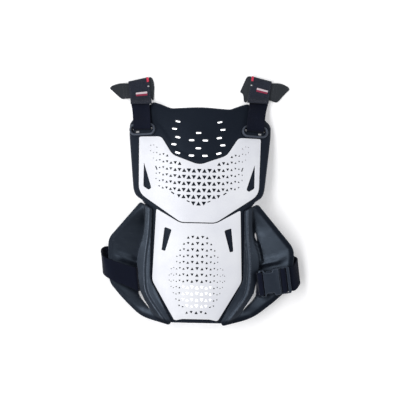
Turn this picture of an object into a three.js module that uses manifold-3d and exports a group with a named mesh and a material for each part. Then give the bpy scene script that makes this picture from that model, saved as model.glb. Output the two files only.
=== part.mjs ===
// Motocross chest protector, laid on its back. Left and right are as seen from the front.
// Millimetres: +X to the right, +Y towards the shoulders, +Z out of the chest.
// The origin is under the middle of the waist belt, on the surface that the protector lies on.
import * as THREE from "three";
import { mergeVertices } from "three/addons/utils/BufferGeometryUtils.js";
import Module from "manifold-3d";

const { degToRad, lerp, smoothstep } = THREE.MathUtils;
const wasm = await Module();
wasm.setup();

// Torso curve, followed by the front face of the chassis
const CROWN_Z = 74;
const GIRTH_RADIUS = 300;
const GIRTH_REACH = 110;
const CREST_Y = 130;
const COLLAR_RADIUS = 426;
const BELLY_RADIUS = 1300;

// Walls and gaps
const CHASSIS_WALL = 6;
const PLATE_WALL = 3;
const WING_WALL = 4;
const GAP = 0.5;

// Mesh settings
const PLATE_CELL = 24;
const WING_CELL = 13.2;
const SLAB_MARGIN = 12;
const CUT = { bottom: -60, height: 240 };
const WELD = 1e-4;
const PROBE = 10;
const CURVE_STEPS = { outline: 5, slot: 2, buckle: 4, fold: 6 };

// Half outlines, right side, from the top of the middle line to its foot.
// x, y: the corner. round: how far from the corner its curve begins.
const CHASSIS_EDGE = [
  { x: 0, y: 316, round: 20 },
  { x: 60, y: 312, round: 6 },
  { x: 81, y: 320.5, round: 8 },
  { x: 94, y: 323.5, round: 5 },
  { x: 143, y: 281, round: 8 },
  { x: 143.3, y: 258, round: 10 },
  { x: 131.5, y: 137, round: 18 },
  { x: 115, y: 126, round: 2 },
  { x: 101.6, y: 107.5, round: 6 },
  { x: 101, y: -28, round: 12 },
  { x: 56, y: -119, round: 8 },
];
const CHEST_EDGE = [
  { x: 0, y: 197.5, round: 12 },
  { x: 54, y: 217, round: 9 },
  { x: 77, y: 253, round: 7 },
  { x: 121, y: 252, round: 4 },
  { x: 119, y: 140, round: 16 },
  { x: 35, y: 83.5, round: 8 },
];
const ABDOMEN_EDGE = [
  { x: 35, y: 81.5, round: 8 },
  { x: 83.5, y: 109, round: 4 },
  { x: 88.8, y: -34, round: 8 },
  { x: 42.8, y: -113.5, round: 5 },
  { x: 27, y: -110, round: 4 },
];

// Vents, right side
const CHEST_VENT = [
  { x: 110, y: 201, round: 3 },
  { x: 110, y: 153, round: 3 },
  { x: 99, y: 146, round: 3 },
  { x: 94, y: 150, round: 3 },
];
const ABDOMEN_VENT = [
  { x: 66, y: 73, round: 3 },
  { x: 71, y: 27, round: 2 },
  { x: 64, y: 25, round: 2 },
  { x: 52, y: 68, round: 3 },
];

// Slots through the bib: turn is in degrees, and mirrored ones are there on both sides.
const BIB_SLOT = { length: 11, width: 4.4, shift: -3 };
const BIB_SLOTS = [
  { x: 42.5, y: 285.5, turn: 13, mirrored: true },
  { x: 49, y: 270.5, turn: 8, mirrored: true },
  { x: 42, y: 253.5, turn: 13, mirrored: true },
  { x: 49.5, y: 239, turn: 5, mirrored: true },
  { x: 41.5, y: 222, turn: 17, mirrored: true },
  { x: 0, y: 263, turn: 0, mirrored: false },
  { x: 13.8, y: 248, turn: 0, mirrored: true },
  { x: 0, y: 232, turn: 0, mirrored: false },
  { x: 13.6, y: 217, turn: 0, mirrored: true },
];

// Window through the chassis, behind the foot of the abdomen plate
const WINDOW = { y: -63.5, width: 60, height: 48, round: 10 };

// Triangular holes: rows of alternately upright and inverted triangles.
// Columns close up and rows rise away from the middle, and the triangles shrink with them.
// odd: 1 where a row's middle triangle is upright in odd rows. flat: columns before the triangles shrink.
const CHEST_HOLES = {
  pitch: 10.6, squeeze: 0.21, top: 237.8, drop: 13, bend: 0.076, side: 9.5, taper: 0.8, odd: 1, flat: 2,
};
const CHEST_ROWS = [
  { row: 3, first: 4, last: 5 },
  { row: 4, first: 0, last: 5 },
  { row: 5, first: 0, last: 5 },
  { row: 6, first: 0, last: 5 },
  { row: 7, first: 0, last: 5 },
  { row: 8, first: 0, last: 4 },
  { row: 9, first: 0, last: 1 },
];
const ABDOMEN_HOLES = {
  pitch: 10.2, squeeze: 0.42, top: 53.6, drop: 12.5, bend: 0, side: 7.2, taper: 0.8, odd: 0, flat: 0,
};
const ABDOMEN_ROWS = Array.from({ length: 13 }, (_, row) => ({ row, first: 0, last: 1 }));
const HOLE_STAGGER = 1.2;

// Wing outline, right side. The left wing is pushed in a little, the right one lies spread,
// and the corner of the shoulder lies lower on the right.
const WING_SHOULDER = { left: { x: 185, y: 48, round: 12 }, right: { x: 183, y: 37, round: 12 } };
const wingEdge = (hand) => [
  { x: 90, y: 109, round: 5 },
  { x: 116.5, y: 122, round: 5 },
  WING_SHOULDER[hand],
  { x: 185, y: 18, round: 6 },
  { x: 181, y: -40, round: 12 },
  { x: 152, y: -71, round: 20 },
  { x: 110, y: -107, round: 20 },
  { x: 52, y: -123, round: 6 },
  { x: 49, y: -114, round: 2 },
  { x: 91.5, y: -31, round: 10 },
  { x: 91.5, y: 4, round: 15 },
];
const WING_OUTER_CORNERS = [1, 8];
const WING_REACH = { inner: -32, outer: 200 };
const WING_HINGE = 104;
const WING_SPREAD = { left: 0.91, right: 1.09 };
// Beyond its hinge the wing is flatter than the torso curve by a slope that it takes up over a length.
const WING_RAISE = { slope: 0.32, length: 40 };

// Wing relief: the crest and the outer foot of its ridge, and the strap slit that runs along the foot.
// slit_in, slit_out: reach of the slit to both sides of the foot.
// fall: share of the ridge's height that is lost from the crest to the foot.
const RIDGE = [
  { y: 112, crest: 95, foot: 106, slit_in: 0, slit_out: 0, fall: 0.3 },
  { y: 60, crest: 97, foot: 109, slit_in: 1, slit_out: 1, fall: 0.7 },
  { y: 15, crest: 102, foot: 121, slit_in: 4.6, slit_out: 2.5, fall: 0.7 },
  { y: -20, crest: 103, foot: 120.4, slit_in: 5.5, slit_out: 4.1, fall: 0.9 },
  { y: -58, crest: 98, foot: 115, slit_in: 5.5, slit_out: 7.4, fall: 0.9 },
  { y: -92, crest: 77, foot: 91, slit_in: 1, slit_out: 3, fall: 0.9 },
  { y: -122, crest: 55, foot: 66, slit_in: 0, slit_out: 0, fall: 0.9 },
];
const RIDGE_HEIGHT = 5;
const RIDGE_FADE = 14;
// Inside its crest the ridge steps down to a share of its height, over a width, and then falls by a slope.
const INNER_STEP = { width: 3, share: 0.6, slope: 0.25 };
// The scoop is deepest along the foot, behind a short wall, and its floor rises to the border.
const FOOT_WALL = { inner: 1.7, outer: 2.8 };
const SCOOP_DEPTH = 19;
const SCOOP_BORDER = 9;
const SCOOP_FADE = 30;
const SCOOP_COLUMNS = [0.25, 0.5, 0.75, 1];
const LIP = { y: -1, rise: 0.33, height: 4, width: 9 };

// Shoulder strap hardware, right side; on both sides it lies off the mirror's line by a shift.
const HARDWARE_SHIFT = -3;
const KEEPER = { x: 112, y: 266, turn: -3.5, length: 52.4, width: 24, wall: 4.6, height: 6 };
const STRAP_SLOT = { x: 113.4, y: 269.1, length: 41, width: 4.6 };
const PEEP_SLOT = { x: 123.4, y: 262.9, length: 8, width: 3.4 };

// Straps
const WEB_WALL = 2;
const SHOULDER_WIDTH = 37.5;
const SHOULDER_SKEW = -0.06;
// lift: above the chassis front where on_chassis, otherwise above the ground. bank: degrees, outer edge down.
const SHOULDER_PATH = [
  { x: 115.6, y: 272.8, lift: -14, bank: 21, on_chassis: true },
  { x: 113.4, y: 268.7, lift: 0, bank: 21, on_chassis: true },
  { x: 111.8, y: 267.9, lift: 5, bank: 21, on_chassis: true },
  { x: 110.8, y: 269.8, lift: 8.6, bank: 21, on_chassis: true },
  { x: 110.8, y: 274.2, lift: 9.6, bank: 21, on_chassis: true },
  { x: 111.2, y: 281.5, lift: 9.2, bank: 21, on_chassis: true },
  { x: 112.8, y: 294, lift: 7.6, bank: 20, on_chassis: true },
  { x: 114.4, y: 306, lift: 7, bank: 18, on_chassis: true },
  { x: 118, y: 317, lift: 15.5, bank: 11, on_chassis: false },
  { x: 119.2, y: 323, lift: 11.5, bank: 4, on_chassis: false },
  { x: 119.8, y: 328, lift: 7.2, bank: 0, on_chassis: false },
];

// Cuff: a sleeve folded over the tab strap, flat on the ground, with its outer end turned down.
const CUFF = { width: 42, length: 50, height: 11, wall: 2.2 };
const CUFF_PLACE = { left: { x: -123, y: 343.5, turn: 8 }, right: { x: 118.1, y: 349.7, turn: -8 } };
// It is longer on its inner side, by this share for each millimetre from its middle.
const CUFF_TAPER = 0.004;
// Its front layer rises over the shoulder strap towards the foot.
const CUFF_FRONT = [{ up: -25, z: 21.5 }, { up: -17, z: 14 }, { up: -10.5, z: 9.9 }];
const TAB_WALL = 2.4;
// The tab strap runs through the cuff and rises a little towards its outer end. Its inner end is bent down.
const TAB_RISE = 0.105;
// out: from the cuff's middle outwards. low, high: its two edges. z: its middle.
const TAB_PATH = {
  left: [
    { out: -29.8, low: 8, high: 18.5, z: 1.6 },
    { out: -28, low: -2, high: 25, z: 2 },
    { out: -25.5, low: -17.5, high: 28.5, z: 2.6 },
    { out: -22, low: -16, high: 28, z: 4 },
    { out: -20, low: -12, high: 20, z: 5 },
    { out: -16, low: -12, high: 17, z: 5.5 },
    { out: 22, low: -14, high: 17, z: 5.5 },
    { out: 30, low: -14.2, high: 17, z: 4.4 },
    { out: 38, low: -14.2, high: 17, z: 3.2 },
    { out: 48, low: -5, high: 14.6, z: 2 },
    { out: 55, low: 2.5, high: 12, z: 1.6 },
    { out: 58.7, low: 6, high: 8.5, z: 1.6 },
  ],
  right: [
    { out: -38.4, low: -4.8, high: -1.5, z: 1.6 },
    { out: -33.5, low: -7.5, high: 16, z: 1.9 },
    { out: -30.5, low: -13, high: 26, z: 2.3 },
    { out: -28, low: -23, high: 28, z: 2.8 },
    { out: -22, low: -23, high: 28, z: 4 },
    { out: -20, low: -15, high: 20, z: 5 },
    { out: -16, low: -15, high: 17, z: 5.5 },
    { out: 22, low: -18, high: 17, z: 5.5 },
    { out: 30, low: -20, high: 17.8, z: 4.4 },
    { out: 38.5, low: -20.5, high: 17.4, z: 3.2 },
    { out: 47, low: -9, high: 15, z: 2 },
    { out: 54.5, low: 1, high: 11.5, z: 1.6 },
    { out: 57.8, low: 5, high: 8, z: 1.6 },
  ],
};
const PULL_TAB = { width: 4.4, length: 9, wall: 1.2 };
const PULL_PLACE = { out: -18.4, up: 20.3, turn: 0 };
const LABEL = { width: 23, length: 7.6, wall: 0.8 };
const LABEL_PLACE = { left: { out: -3, up: -5.4, turn: 0 }, right: { out: 4.6, up: 0.6, turn: -5 } };

// Waist belt
const BELT_WIDTH = 48;
// Left end, up out of the slit and over the wing's outer edge: x and y on the wing, and lift above its back.
const BELT_ON_WING = [
  { x: 119, y: -33.5, lift: -22, lean: 8 },
  { x: 119.3, y: -33.5, lift: -3, lean: 8 },
  { x: 121, y: -32.8, lift: 3.5, lean: 9 },
  { x: 132, y: -29, lift: 5.4, lean: 14 },
  { x: 155, y: -21.5, lift: 7, lean: 19 },
  { x: 176, y: -15, lift: 7.4, lean: 20 },
];
// From the left wing's edge, under the protector, to the right wing's edge.
// lean: degrees that the strap's width is turned from +Y. tip: degrees that its upper edge is raised.
const BELT_BEHIND = [
  { x: -182, y: -10.5, z: 39.6, lean: 16, tip: 8 },
  { x: -188.5, y: -4, z: 32, lean: 10, tip: 5 },
  { x: -190.5, y: 2, z: 18, lean: 5, tip: 2 },
  { x: -187, y: 6, z: 6, lean: 1, tip: 0 },
  { x: -176, y: 7, z: 1, lean: 0, tip: 0 },
  { x: -140, y: 0, z: 1, lean: 0, tip: 0 },
  { x: 140, y: 0, z: 1, lean: 0, tip: 0 },
  { x: 188, y: -3, z: 1, lean: 0, tip: 0 },
  { x: 199, y: -6, z: 5, lean: 3, tip: 0 },
  { x: 203, y: -9, z: 16, lean: 6, tip: 1 },
  { x: 202.5, y: -13, z: 30, lean: 9, tip: 3 },
];

// Side-release buckle: out runs from the ridge to the wing's edge, and zero is inside the socket.
const BUCKLE = { x: 143.2, y: -31, turn: 10, lift: 13.8 };
const SOCKET = { inner: -28, outer: 13, width: 54, height: 11, round: 6 };
const SOCKET_SLOT = { from: -23.5, to: -19, width: 50, round: 1.5 };
const SOCKET_MOUTH = { from: -17, to: 23, width: 44, height: 5.4, round: 3 };
const THUMB_NOTCH = { out: -7.5, length: 17, depth: 6.5 };
const PLUG = { inner: 13.5, outer: 35, width: 54, height: 5, round: 4 };
const PLUG_SLOTS = [{ from: 15.6, to: 20.4 }, { from: 24.4, to: 29.2 }];
const PLUG_SLOT = { width: 50, round: 1.2 };
// The plug's two sprung arms end in pads that show in the socket's thumb notches. A guide runs between them.
const PRONG = { height: 4.4, root: 15.5, arm_in: 13, arm_out: 18, round: 1 };
const PRONG_PAD = { y: 19, length: 13, width: 9 };
const GUIDE = { tip: -15.5, width: 8, round: 2 };
// Belt end laced through the plug: out and h in the buckle's own frame.
// twist: degrees that the strap's width turns towards the wing's slit.
const BELT_LACING = [
  { out: 43, h: -5.4, twist: 0 },
  { out: 31, h: -4.6, twist: 0 },
  { out: 28.4, h: -3.9, twist: 0 },
  { out: 27, h: -0.5, twist: 0 },
  { out: 26.6, h: 2.8, twist: 0 },
  { out: 25, h: 4.3, twist: 0 },
  { out: 19.8, h: 4.3, twist: 0 },
  { out: 18.2, h: 2.8, twist: 0 },
  { out: 17.8, h: -0.5, twist: 0 },
  { out: 17.8, h: -5, twist: 0 },
];
// Anchor strap from the socket's slot, over its inner bar and down into the wing's slit
const ANCHOR_WIDTH = 46;
const ANCHOR_LACING = [
  { out: -21.2, h: -4, twist: 0 },
  { out: -21.2, h: 5, twist: 0 },
  { out: -22, h: 6.9, twist: 0 },
  { out: -24, h: 7.6, twist: 0 },
  { out: -27.6, h: 7.6, twist: 0 },
  { out: -29.6, h: 5.4, twist: 0 },
  { out: -29.6, h: -2, twist: 0 },
  { out: -29.6, h: -5.8, twist: 1 },
  { out: -29.2, h: -8.8, twist: 12 },
  { out: -28.5, h: -14, twist: 15 },
  { out: -27.5, h: -24, twist: 15 },
  { out: -26.4, h: -35, twist: 15 },
];

const MATERIALS = {
  white_plastic: { color: 0xeef0f5, roughness: 0.38, metalness: 0 },
  black_chassis: { color: 0x1a1e27, roughness: 0.62, metalness: 0 },
  black_wing: { color: 0x232830, roughness: 0.48, metalness: 0 },
  black_keeper: { color: 0x2b2f37, roughness: 0.5, metalness: 0 },
  black_buckle: { color: 0x1c1f25, roughness: 0.4, metalness: 0 },
  black_webbing: { color: 0x171a24, roughness: 0.85, metalness: 0 },
  cuff_fabric: { color: 0x2e323c, roughness: 0.9, metalness: 0 },
  red_ribbon: { color: 0xb3202c, roughness: 0.75, metalness: 0 },
  label_weave: { color: 0xc8323c, roughness: 0.8, metalness: 0 },
};

// Torso curve helpers
function girthDrop(x) {
  const bent = Math.min(Math.abs(x), GIRTH_REACH);
  const level = Math.sqrt(GIRTH_RADIUS ** 2 - bent ** 2);
  return GIRTH_RADIUS - level + (Math.abs(x) - bent) * (bent / level);
}

function frontZ(x, y) {
  const away = y - CREST_Y;
  const radius = away > 0 ? COLLAR_RADIUS : BELLY_RADIUS;
  return CROWN_Z - girthDrop(x) - away ** 2 / (2 * radius);
}

function onFront(x, y, lift) {
  const slopeX = frontZ(x + 0.5, y) - frontZ(x - 0.5, y);
  const slopeY = frontZ(x, y + 0.5) - frontZ(x, y - 0.5);
  const normal = new THREE.Vector3(-slopeX, -slopeY, 1).normalize();
  return new THREE.Vector3(x, y, frontZ(x, y)).addScaledVector(normal, lift);
}

function setOnWing(point, spread) {
  const away = Math.max(0, point.x - WING_HINGE);
  point.z += (WING_RAISE.slope * away ** 2) / (away + WING_RAISE.length);
  point.x += (spread - 1) * away;
  return point;
}

function onWing(x, y, lift, spread) {
  return setOnWing(onFront(x, y, lift), spread);
}

// Outlines
function roundedPath(corners, path) {
  corners.forEach((corner, i) => {
    const here = new THREE.Vector2(corner.x, corner.y);
    const towards = (other) => {
      const edge = new THREE.Vector2(other.x, other.y).sub(here);
      return here.clone().add(edge.setLength(Math.min(corner.round, edge.length() * 0.48)));
    };
    const start = towards(corners.at(i - 1));
    const end = towards(corners[(i + 1) % corners.length]);
    if (i === 0) path.moveTo(start.x, start.y);
    else path.lineTo(start.x, start.y);
    path.quadraticCurveTo(here.x, here.y, end.x, end.y);
  });
  path.closePath();
  return path;
}

function flipped(corners) {
  return corners.map((corner) => ({ ...corner, x: -corner.x })).reverse();
}

function mirroredOutline(half) {
  return roundedPath([...half, ...flipped(half.filter((corner) => corner.x !== 0))], new THREE.Shape());
}

function bothSides(corners) {
  return [corners, flipped(corners)].map((side) => roundedPath(side, new THREE.Shape()));
}

function stadium(x, y, length, width, turn) {
  const half = (length - width) / 2;
  const along = new THREE.Vector2(half, 0).rotateAround(new THREE.Vector2(), degToRad(turn));
  const angle = along.angle();
  const shape = new THREE.Shape();
  shape.absarc(x + along.x, y + along.y, width / 2, angle - Math.PI / 2, angle + Math.PI / 2);
  shape.absarc(x - along.x, y - along.y, width / 2, angle + Math.PI / 2, angle + (Math.PI * 3) / 2);
  shape.closePath();
  return shape;
}

function rectangle(x0, x1, width, round) {
  const corners = [
    { x: x0, y: -width / 2, round },
    { x: x1, y: -width / 2, round },
    { x: x1, y: width / 2, round },
    { x: x0, y: width / 2, round },
  ];
  return roundedPath(corners, new THREE.Shape());
}

function triangle(x, y, side, upright) {
  const point = upright ? 1 : -1;
  const height = (side * Math.sqrt(3)) / 2;
  return new THREE.Shape([
    new THREE.Vector2(x - side / 2, y - (point * height) / 3),
    new THREE.Vector2(x + side / 2, y - (point * height) / 3),
    new THREE.Vector2(x, y + (point * height * 2) / 3),
  ]);
}

function triangularHoles(lattice, rows) {
  const shapes = [];
  for (const { row, first, last } of rows) {
    for (let column = -last; column <= last; column += 1) {
      const away = Math.abs(column);
      if (away < first) continue;
      const upright = (away + row + lattice.odd) % 2 === 0;
      const x = Math.sign(column) * (lattice.pitch * away - lattice.squeeze * away ** 2);
      const stagger = upright ? -HOLE_STAGGER : HOLE_STAGGER;
      const y = lattice.top - lattice.drop * row + lattice.bend * away ** 2 + stagger;
      const side = lattice.side - lattice.taper * Math.max(0, away - lattice.flat);
      shapes.push(triangle(x, y, side, upright));
    }
  }
  return shapes;
}

// Solids
function solid(geometry) {
  const bare = geometry.clone();
  bare.deleteAttribute("normal");
  bare.deleteAttribute("uv");
  const merged = mergeVertices(bare, WELD);
  const mesh = new wasm.Mesh({
    numProp: 3,
    vertProperties: new Float32Array(merged.attributes.position.array),
    triVerts: new Uint32Array(merged.index.array),
  });
  return new wasm.Manifold(mesh);
}

function geometryOf(manifold) {
  const mesh = manifold.getMesh();
  const geometry = new THREE.BufferGeometry();
  geometry.setAttribute("position", new THREE.Float32BufferAttribute(mesh.vertProperties, 3));
  geometry.setIndex([...mesh.triVerts]);
  geometry.computeVertexNormals();
  return geometry;
}

function prism(shapes, bottom, height, curveSegments = CURVE_STEPS.outline) {
  const settings = { depth: height, bevelEnabled: false, curveSegments };
  return new THREE.ExtrudeGeometry(shapes, settings).translate(0, 0, bottom);
}

function through(shapes, curveSegments) {
  return solid(prism(shapes, CUT.bottom, CUT.height, curveSegments));
}

// A wall that follows the torso between two lifts, cut to an outline.
// columnsAt may set where the columns of its grid cross a row.
function shell(outline, back, front, cell, relief = () => 0, columnsAt = null) {
  const box = new THREE.Box2().setFromPoints(outline.getPoints());
  const size = box.getSize(new THREE.Vector2()).addScalar(2 * SLAB_MARGIN);
  const middle = box.getCenter(new THREE.Vector2());
  const columns = columnsAt ? columnsAt(middle.y).length - 1 : Math.ceil(size.x / cell);
  const rows = Math.ceil(size.y / cell);
  const slab = new THREE.BoxGeometry(size.x, size.y, 1, columns, rows, 1);
  const points = slab.attributes.position;
  for (let i = 0; i < points.count; i += 1) {
    const y = points.getY(i) + middle.y;
    const column = Math.round((points.getX(i) / size.x + 0.5) * columns);
    const x = columnsAt ? columnsAt(y)[column] : points.getX(i) + middle.x;
    const lift = relief(x, y) + (points.getZ(i) > 0 ? front : back);
    const point = onFront(x, y, lift);
    points.setXYZ(i, point.x, point.y, point.z);
  }
  return solid(slab).intersect(through([outline]));
}

// A flat strap along a row of sections: middle, across (a unit vector), low and high edges.
function ribbon(sections, wall) {
  const positions = [];
  const index = [];
  sections.forEach((section, i) => {
    const before = sections[Math.max(i - 1, 0)].middle;
    const after = sections[Math.min(i + 1, sections.length - 1)].middle;
    const along = after.clone().sub(before);
    const out = section.across.clone().cross(along).normalize();
    const edges = [[section.low, -1], [section.high, -1], [section.high, 1], [section.low, 1]];
    for (const [edge, face] of edges) {
      const corner = section.middle.clone().addScaledVector(section.across, edge);
      positions.push(...corner.addScaledVector(out, (face * wall) / 2).toArray());
    }
    if (i === 0) return;
    for (let side = 0; side < 4; side += 1) {
      const a = 4 * (i - 1) + side;
      const b = 4 * (i - 1) + ((side + 1) % 4);
      index.push(b, a, a + 4, b, a + 4, b + 4);
    }
  });
  const end = positions.length / 3 - 4;
  index.push(0, 1, 2, 0, 2, 3, end, end + 2, end + 1, end, end + 3, end + 2);
  const geometry = new THREE.BufferGeometry();
  geometry.setAttribute("position", new THREE.Float32BufferAttribute(positions, 3));
  geometry.setIndex(index);
  geometry.computeVertexNormals();
  return geometry;
}

function evenSection(middle, across, width) {
  return { middle, across: across.clone().normalize(), low: -width / 2, high: width / 2 };
}

// Chassis and plates
function chassisGeometry() {
  const slots = BIB_SLOTS.flatMap((slot) => {
    const sides = slot.mirrored ? [1, -1] : [1];
    const at = (s) => BIB_SLOT.shift + s * slot.x;
    return sides.map((s) => stadium(at(s), slot.y, BIB_SLOT.length, BIB_SLOT.width, s * slot.turn));
  });
  for (const side of [1, -1]) {
    for (const { x, y, length, width } of [STRAP_SLOT, PEEP_SLOT]) {
      slots.push(stadium(HARDWARE_SHIFT + side * x, y, length, width, side * KEEPER.turn));
    }
  }
  const window = rectangle(-WINDOW.width / 2, WINDOW.width / 2, WINDOW.height, WINDOW.round);
  const opening = through([window]).translate(0, WINDOW.y, 0);
  const body = shell(mirroredOutline(CHASSIS_EDGE), -CHASSIS_WALL, 0, PLATE_CELL);
  return geometryOf(body.subtract(through(slots, CURVE_STEPS.slot)).subtract(opening));
}

function plateGeometry(edge, vent, lattice, rows) {
  const body = shell(mirroredOutline(edge), GAP, GAP + PLATE_WALL, PLATE_CELL);
  return geometryOf(body.subtract(through([...bothSides(vent), ...triangularHoles(lattice, rows)])));
}

function keeperGeometry(side) {
  const { y, length, width, wall, turn } = KEEPER;
  const x = KEEPER.x + side * HARDWARE_SHIFT;
  const ring = stadium(x, y, length, width, turn);
  ring.holes.push(stadium(x, y, length - 2 * wall, width - 2 * wall, turn));
  return geometryOf(shell(ring, GAP, GAP + KEEPER.height, PLATE_CELL));
}

// Wings
function alongRidge(y) {
  const next = RIDGE.findIndex((row) => row.y <= y);
  const below = RIDGE.at(next === -1 ? -1 : next);
  const above = RIDGE[Math.max(next === -1 ? RIDGE.length - 1 : next - 1, 0)];
  const share = above.y === below.y ? 0 : (above.y - y) / (above.y - below.y);
  const blend = (column) => above[column] + (below[column] - above[column]) * share;
  return { crest: blend("crest"), foot: blend("foot"), fall: blend("fall") };
}

function edgeDistance(x, y, outer) {
  const here = new THREE.Vector3(x, y, 0);
  const near = new THREE.Vector3();
  let least = Infinity;
  for (let i = 1; i < outer.length; i += 1) {
    const [from, to] = [outer[i - 1], outer[i]];
    const edge = new THREE.Line3(new THREE.Vector3(from.x, from.y, 0), new THREE.Vector3(to.x, to.y, 0));
    edge.closestPointToPoint(here, true, near);
    least = Math.min(least, near.distanceTo(here));
  }
  return least;
}

function wingRelief(x, y, outer) {
  const { crest, foot, fall } = alongRidge(y);
  const toEdge = edgeDistance(x, y, outer);
  const height = RIDGE_HEIGHT * smoothstep(toEdge, 0, RIDGE_FADE);
  if (x < crest) {
    const step = crest - INNER_STEP.width;
    const stepped = height * lerp(INNER_STEP.share, 1, smoothstep(x, step, crest));
    return Math.max(0, stepped - INNER_STEP.slope * Math.max(0, step - x));
  }
  const inner = Math.max(0, toEdge - SCOOP_BORDER);
  const share = inner / (inner + Math.max(x - foot, 0.01));
  const room = smoothstep(edgeDistance(foot, y, outer), SCOOP_BORDER, SCOOP_BORDER + SCOOP_FADE);
  const lipY = LIP.y + LIP.rise * (x - foot);
  const lip = LIP.height * Math.max(0, 1 - Math.abs(y - lipY) / LIP.width);
  const floor = room * (lip * smoothstep(inner, 0, SCOOP_BORDER) - SCOOP_DEPTH * share);
  const flank = height * (1 - (fall * (x - crest)) / (foot - crest));
  const wall = smoothstep(x, foot - FOOT_WALL.inner, foot + FOOT_WALL.outer);
  return lerp(flank, floor, wall);
}

// Columns of the wing's grid: close together at the ridge and at its foot, even over the scoop
function wingColumns(y) {
  const { crest, foot } = alongRidge(y);
  const start = foot + FOOT_WALL.outer;
  const scoop = SCOOP_COLUMNS.map((share) => lerp(start, WING_REACH.outer, share));
  return [crest + WING_REACH.inner, crest - INNER_STEP.width, crest, foot - FOOT_WALL.inner, start, ...scoop];
}

function slitShape() {
  const rows = RIDGE.filter((row) => row.slit_in > 0);
  const inner = rows.map((row) => new THREE.Vector2(row.foot - row.slit_in, row.y));
  const outer = rows.map((row) => new THREE.Vector2(row.foot + row.slit_out, row.y));
  return new THREE.Shape([...inner, ...outer.reverse()]);
}

function wingGeometry(hand) {
  const edge = wingEdge(hand);
  const outer = edge.slice(...WING_OUTER_CORNERS);
  const relief = (x, y) => wingRelief(x, y, outer);
  const outline = roundedPath(edge, new THREE.Shape());
  const body = shell(outline, GAP, GAP + WING_WALL, WING_CELL, relief, wingColumns);
  const geometry = geometryOf(body.subtract(through([slitShape()])));
  const points = geometry.attributes.position;
  const point = new THREE.Vector3();
  for (let i = 0; i < points.count; i += 1) {
    setOnWing(point.fromBufferAttribute(points, i), WING_SPREAD[hand]);
    points.setXYZ(i, ...point.toArray());
  }
  return geometry;
}

// Shoulder straps
function shoulderStrapGeometry(side) {
  const sections = SHOULDER_PATH.map((row) => {
    const x = row.x + side * HARDWARE_SHIFT;
    const middle = row.on_chassis ? onFront(x, row.y, row.lift) : new THREE.Vector3(x, row.y, row.lift);
    const bank = degToRad(row.bank);
    const across = new THREE.Vector3(Math.cos(bank), SHOULDER_SKEW, -Math.sin(bank));
    return evenSection(middle, across, SHOULDER_WIDTH);
  });
  return ribbon(sections, WEB_WALL);
}

function tapered(geometry) {
  const points = geometry.attributes.position;
  for (let i = 0; i < points.count; i += 1) {
    points.setY(i, points.getY(i) * (1 - CUFF_TAPER * points.getX(i)));
  }
  geometry.computeVertexNormals();
  return geometry;
}

function cuffGeometry() {
  const inset = CUFF.wall / 2;
  const top = CUFF.height - inset;
  const radius = (top - inset) / 2;
  const foot = -CUFF.length / 2;
  const turn = CUFF.length / 2 - inset - radius;
  const path = [...CUFF_FRONT];
  for (let i = 0; i <= CURVE_STEPS.fold; i += 1) {
    const angle = (Math.PI * i) / CURVE_STEPS.fold;
    path.push({ up: turn + radius * Math.sin(angle), z: inset + radius + radius * Math.cos(angle) });
  }
  path.push({ up: 0, z: inset }, { up: foot, z: inset });
  const across = new THREE.Vector3(1, 0, 0);
  const sections = path.map((row) => evenSection(new THREE.Vector3(0, row.up, row.z), across, CUFF.width));
  return tapered(ribbon(sections, CUFF.wall));
}

function tabStrapGeometry(path) {
  const across = new THREE.Vector3(0, 1, 0);
  const sections = path.map(({ out, low, high, z }) => {
    return { middle: new THREE.Vector3(out, TAB_RISE * out, z), across, low, high };
  });
  return ribbon(sections, TAB_WALL);
}

function cuffPatchGeometry(patch, place) {
  const box = new THREE.BoxGeometry(patch.width, patch.length, patch.wall);
  box.rotateZ(degToRad(place.turn));
  return tapered(box.translate(place.out, place.up, CUFF.height + GAP + patch.wall / 2));
}

// Buckle and belt
function buckleFrame() {
  const turn = degToRad(BUCKLE.turn);
  const at = (dx, dy) => onWing(BUCKLE.x + dx, BUCKLE.y + dy, BUCKLE.lift, WING_SPREAD.right);
  const origin = at(0, 0);
  const out = at(PROBE * Math.cos(turn), PROBE * Math.sin(turn)).sub(origin).normalize();
  const up = at(-PROBE * Math.sin(turn), PROBE * Math.cos(turn)).sub(origin);
  const face = out.clone().cross(up).normalize();
  return new THREE.Matrix4().makeBasis(out, face.clone().cross(out), face).setPosition(origin);
}

function laced(lacing, width) {
  const frame = buckleFrame();
  return lacing.map((row) => {
    const twist = degToRad(row.twist);
    const across = new THREE.Vector3(Math.sin(twist), Math.cos(twist), 0).transformDirection(frame);
    return evenSection(new THREE.Vector3(row.out, 0, row.h).applyMatrix4(frame), across, width);
  });
}

function slab(shapes, height) {
  return solid(prism(shapes, -height / 2, height, CURVE_STEPS.buckle));
}

function socketGeometry() {
  const body = slab([rectangle(SOCKET.inner, SOCKET.outer, SOCKET.width, SOCKET.round)], SOCKET.height);
  const bar = rectangle(SOCKET_SLOT.from, SOCKET_SLOT.to, SOCKET_SLOT.width, SOCKET_SLOT.round);
  const mouth = rectangle(SOCKET_MOUTH.from, SOCKET_MOUTH.to, SOCKET_MOUTH.width, SOCKET_MOUTH.round);
  const notches = [1, -1].map((side) => {
    const y = (side * SOCKET.width) / 2;
    return stadium(THUMB_NOTCH.out, y, THUMB_NOTCH.length, 2 * THUMB_NOTCH.depth, 0);
  });
  const open = slab([bar, ...notches], SOCKET.height * 2).add(slab([mouth], SOCKET_MOUTH.height));
  return geometryOf(body.subtract(open));
}

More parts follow.
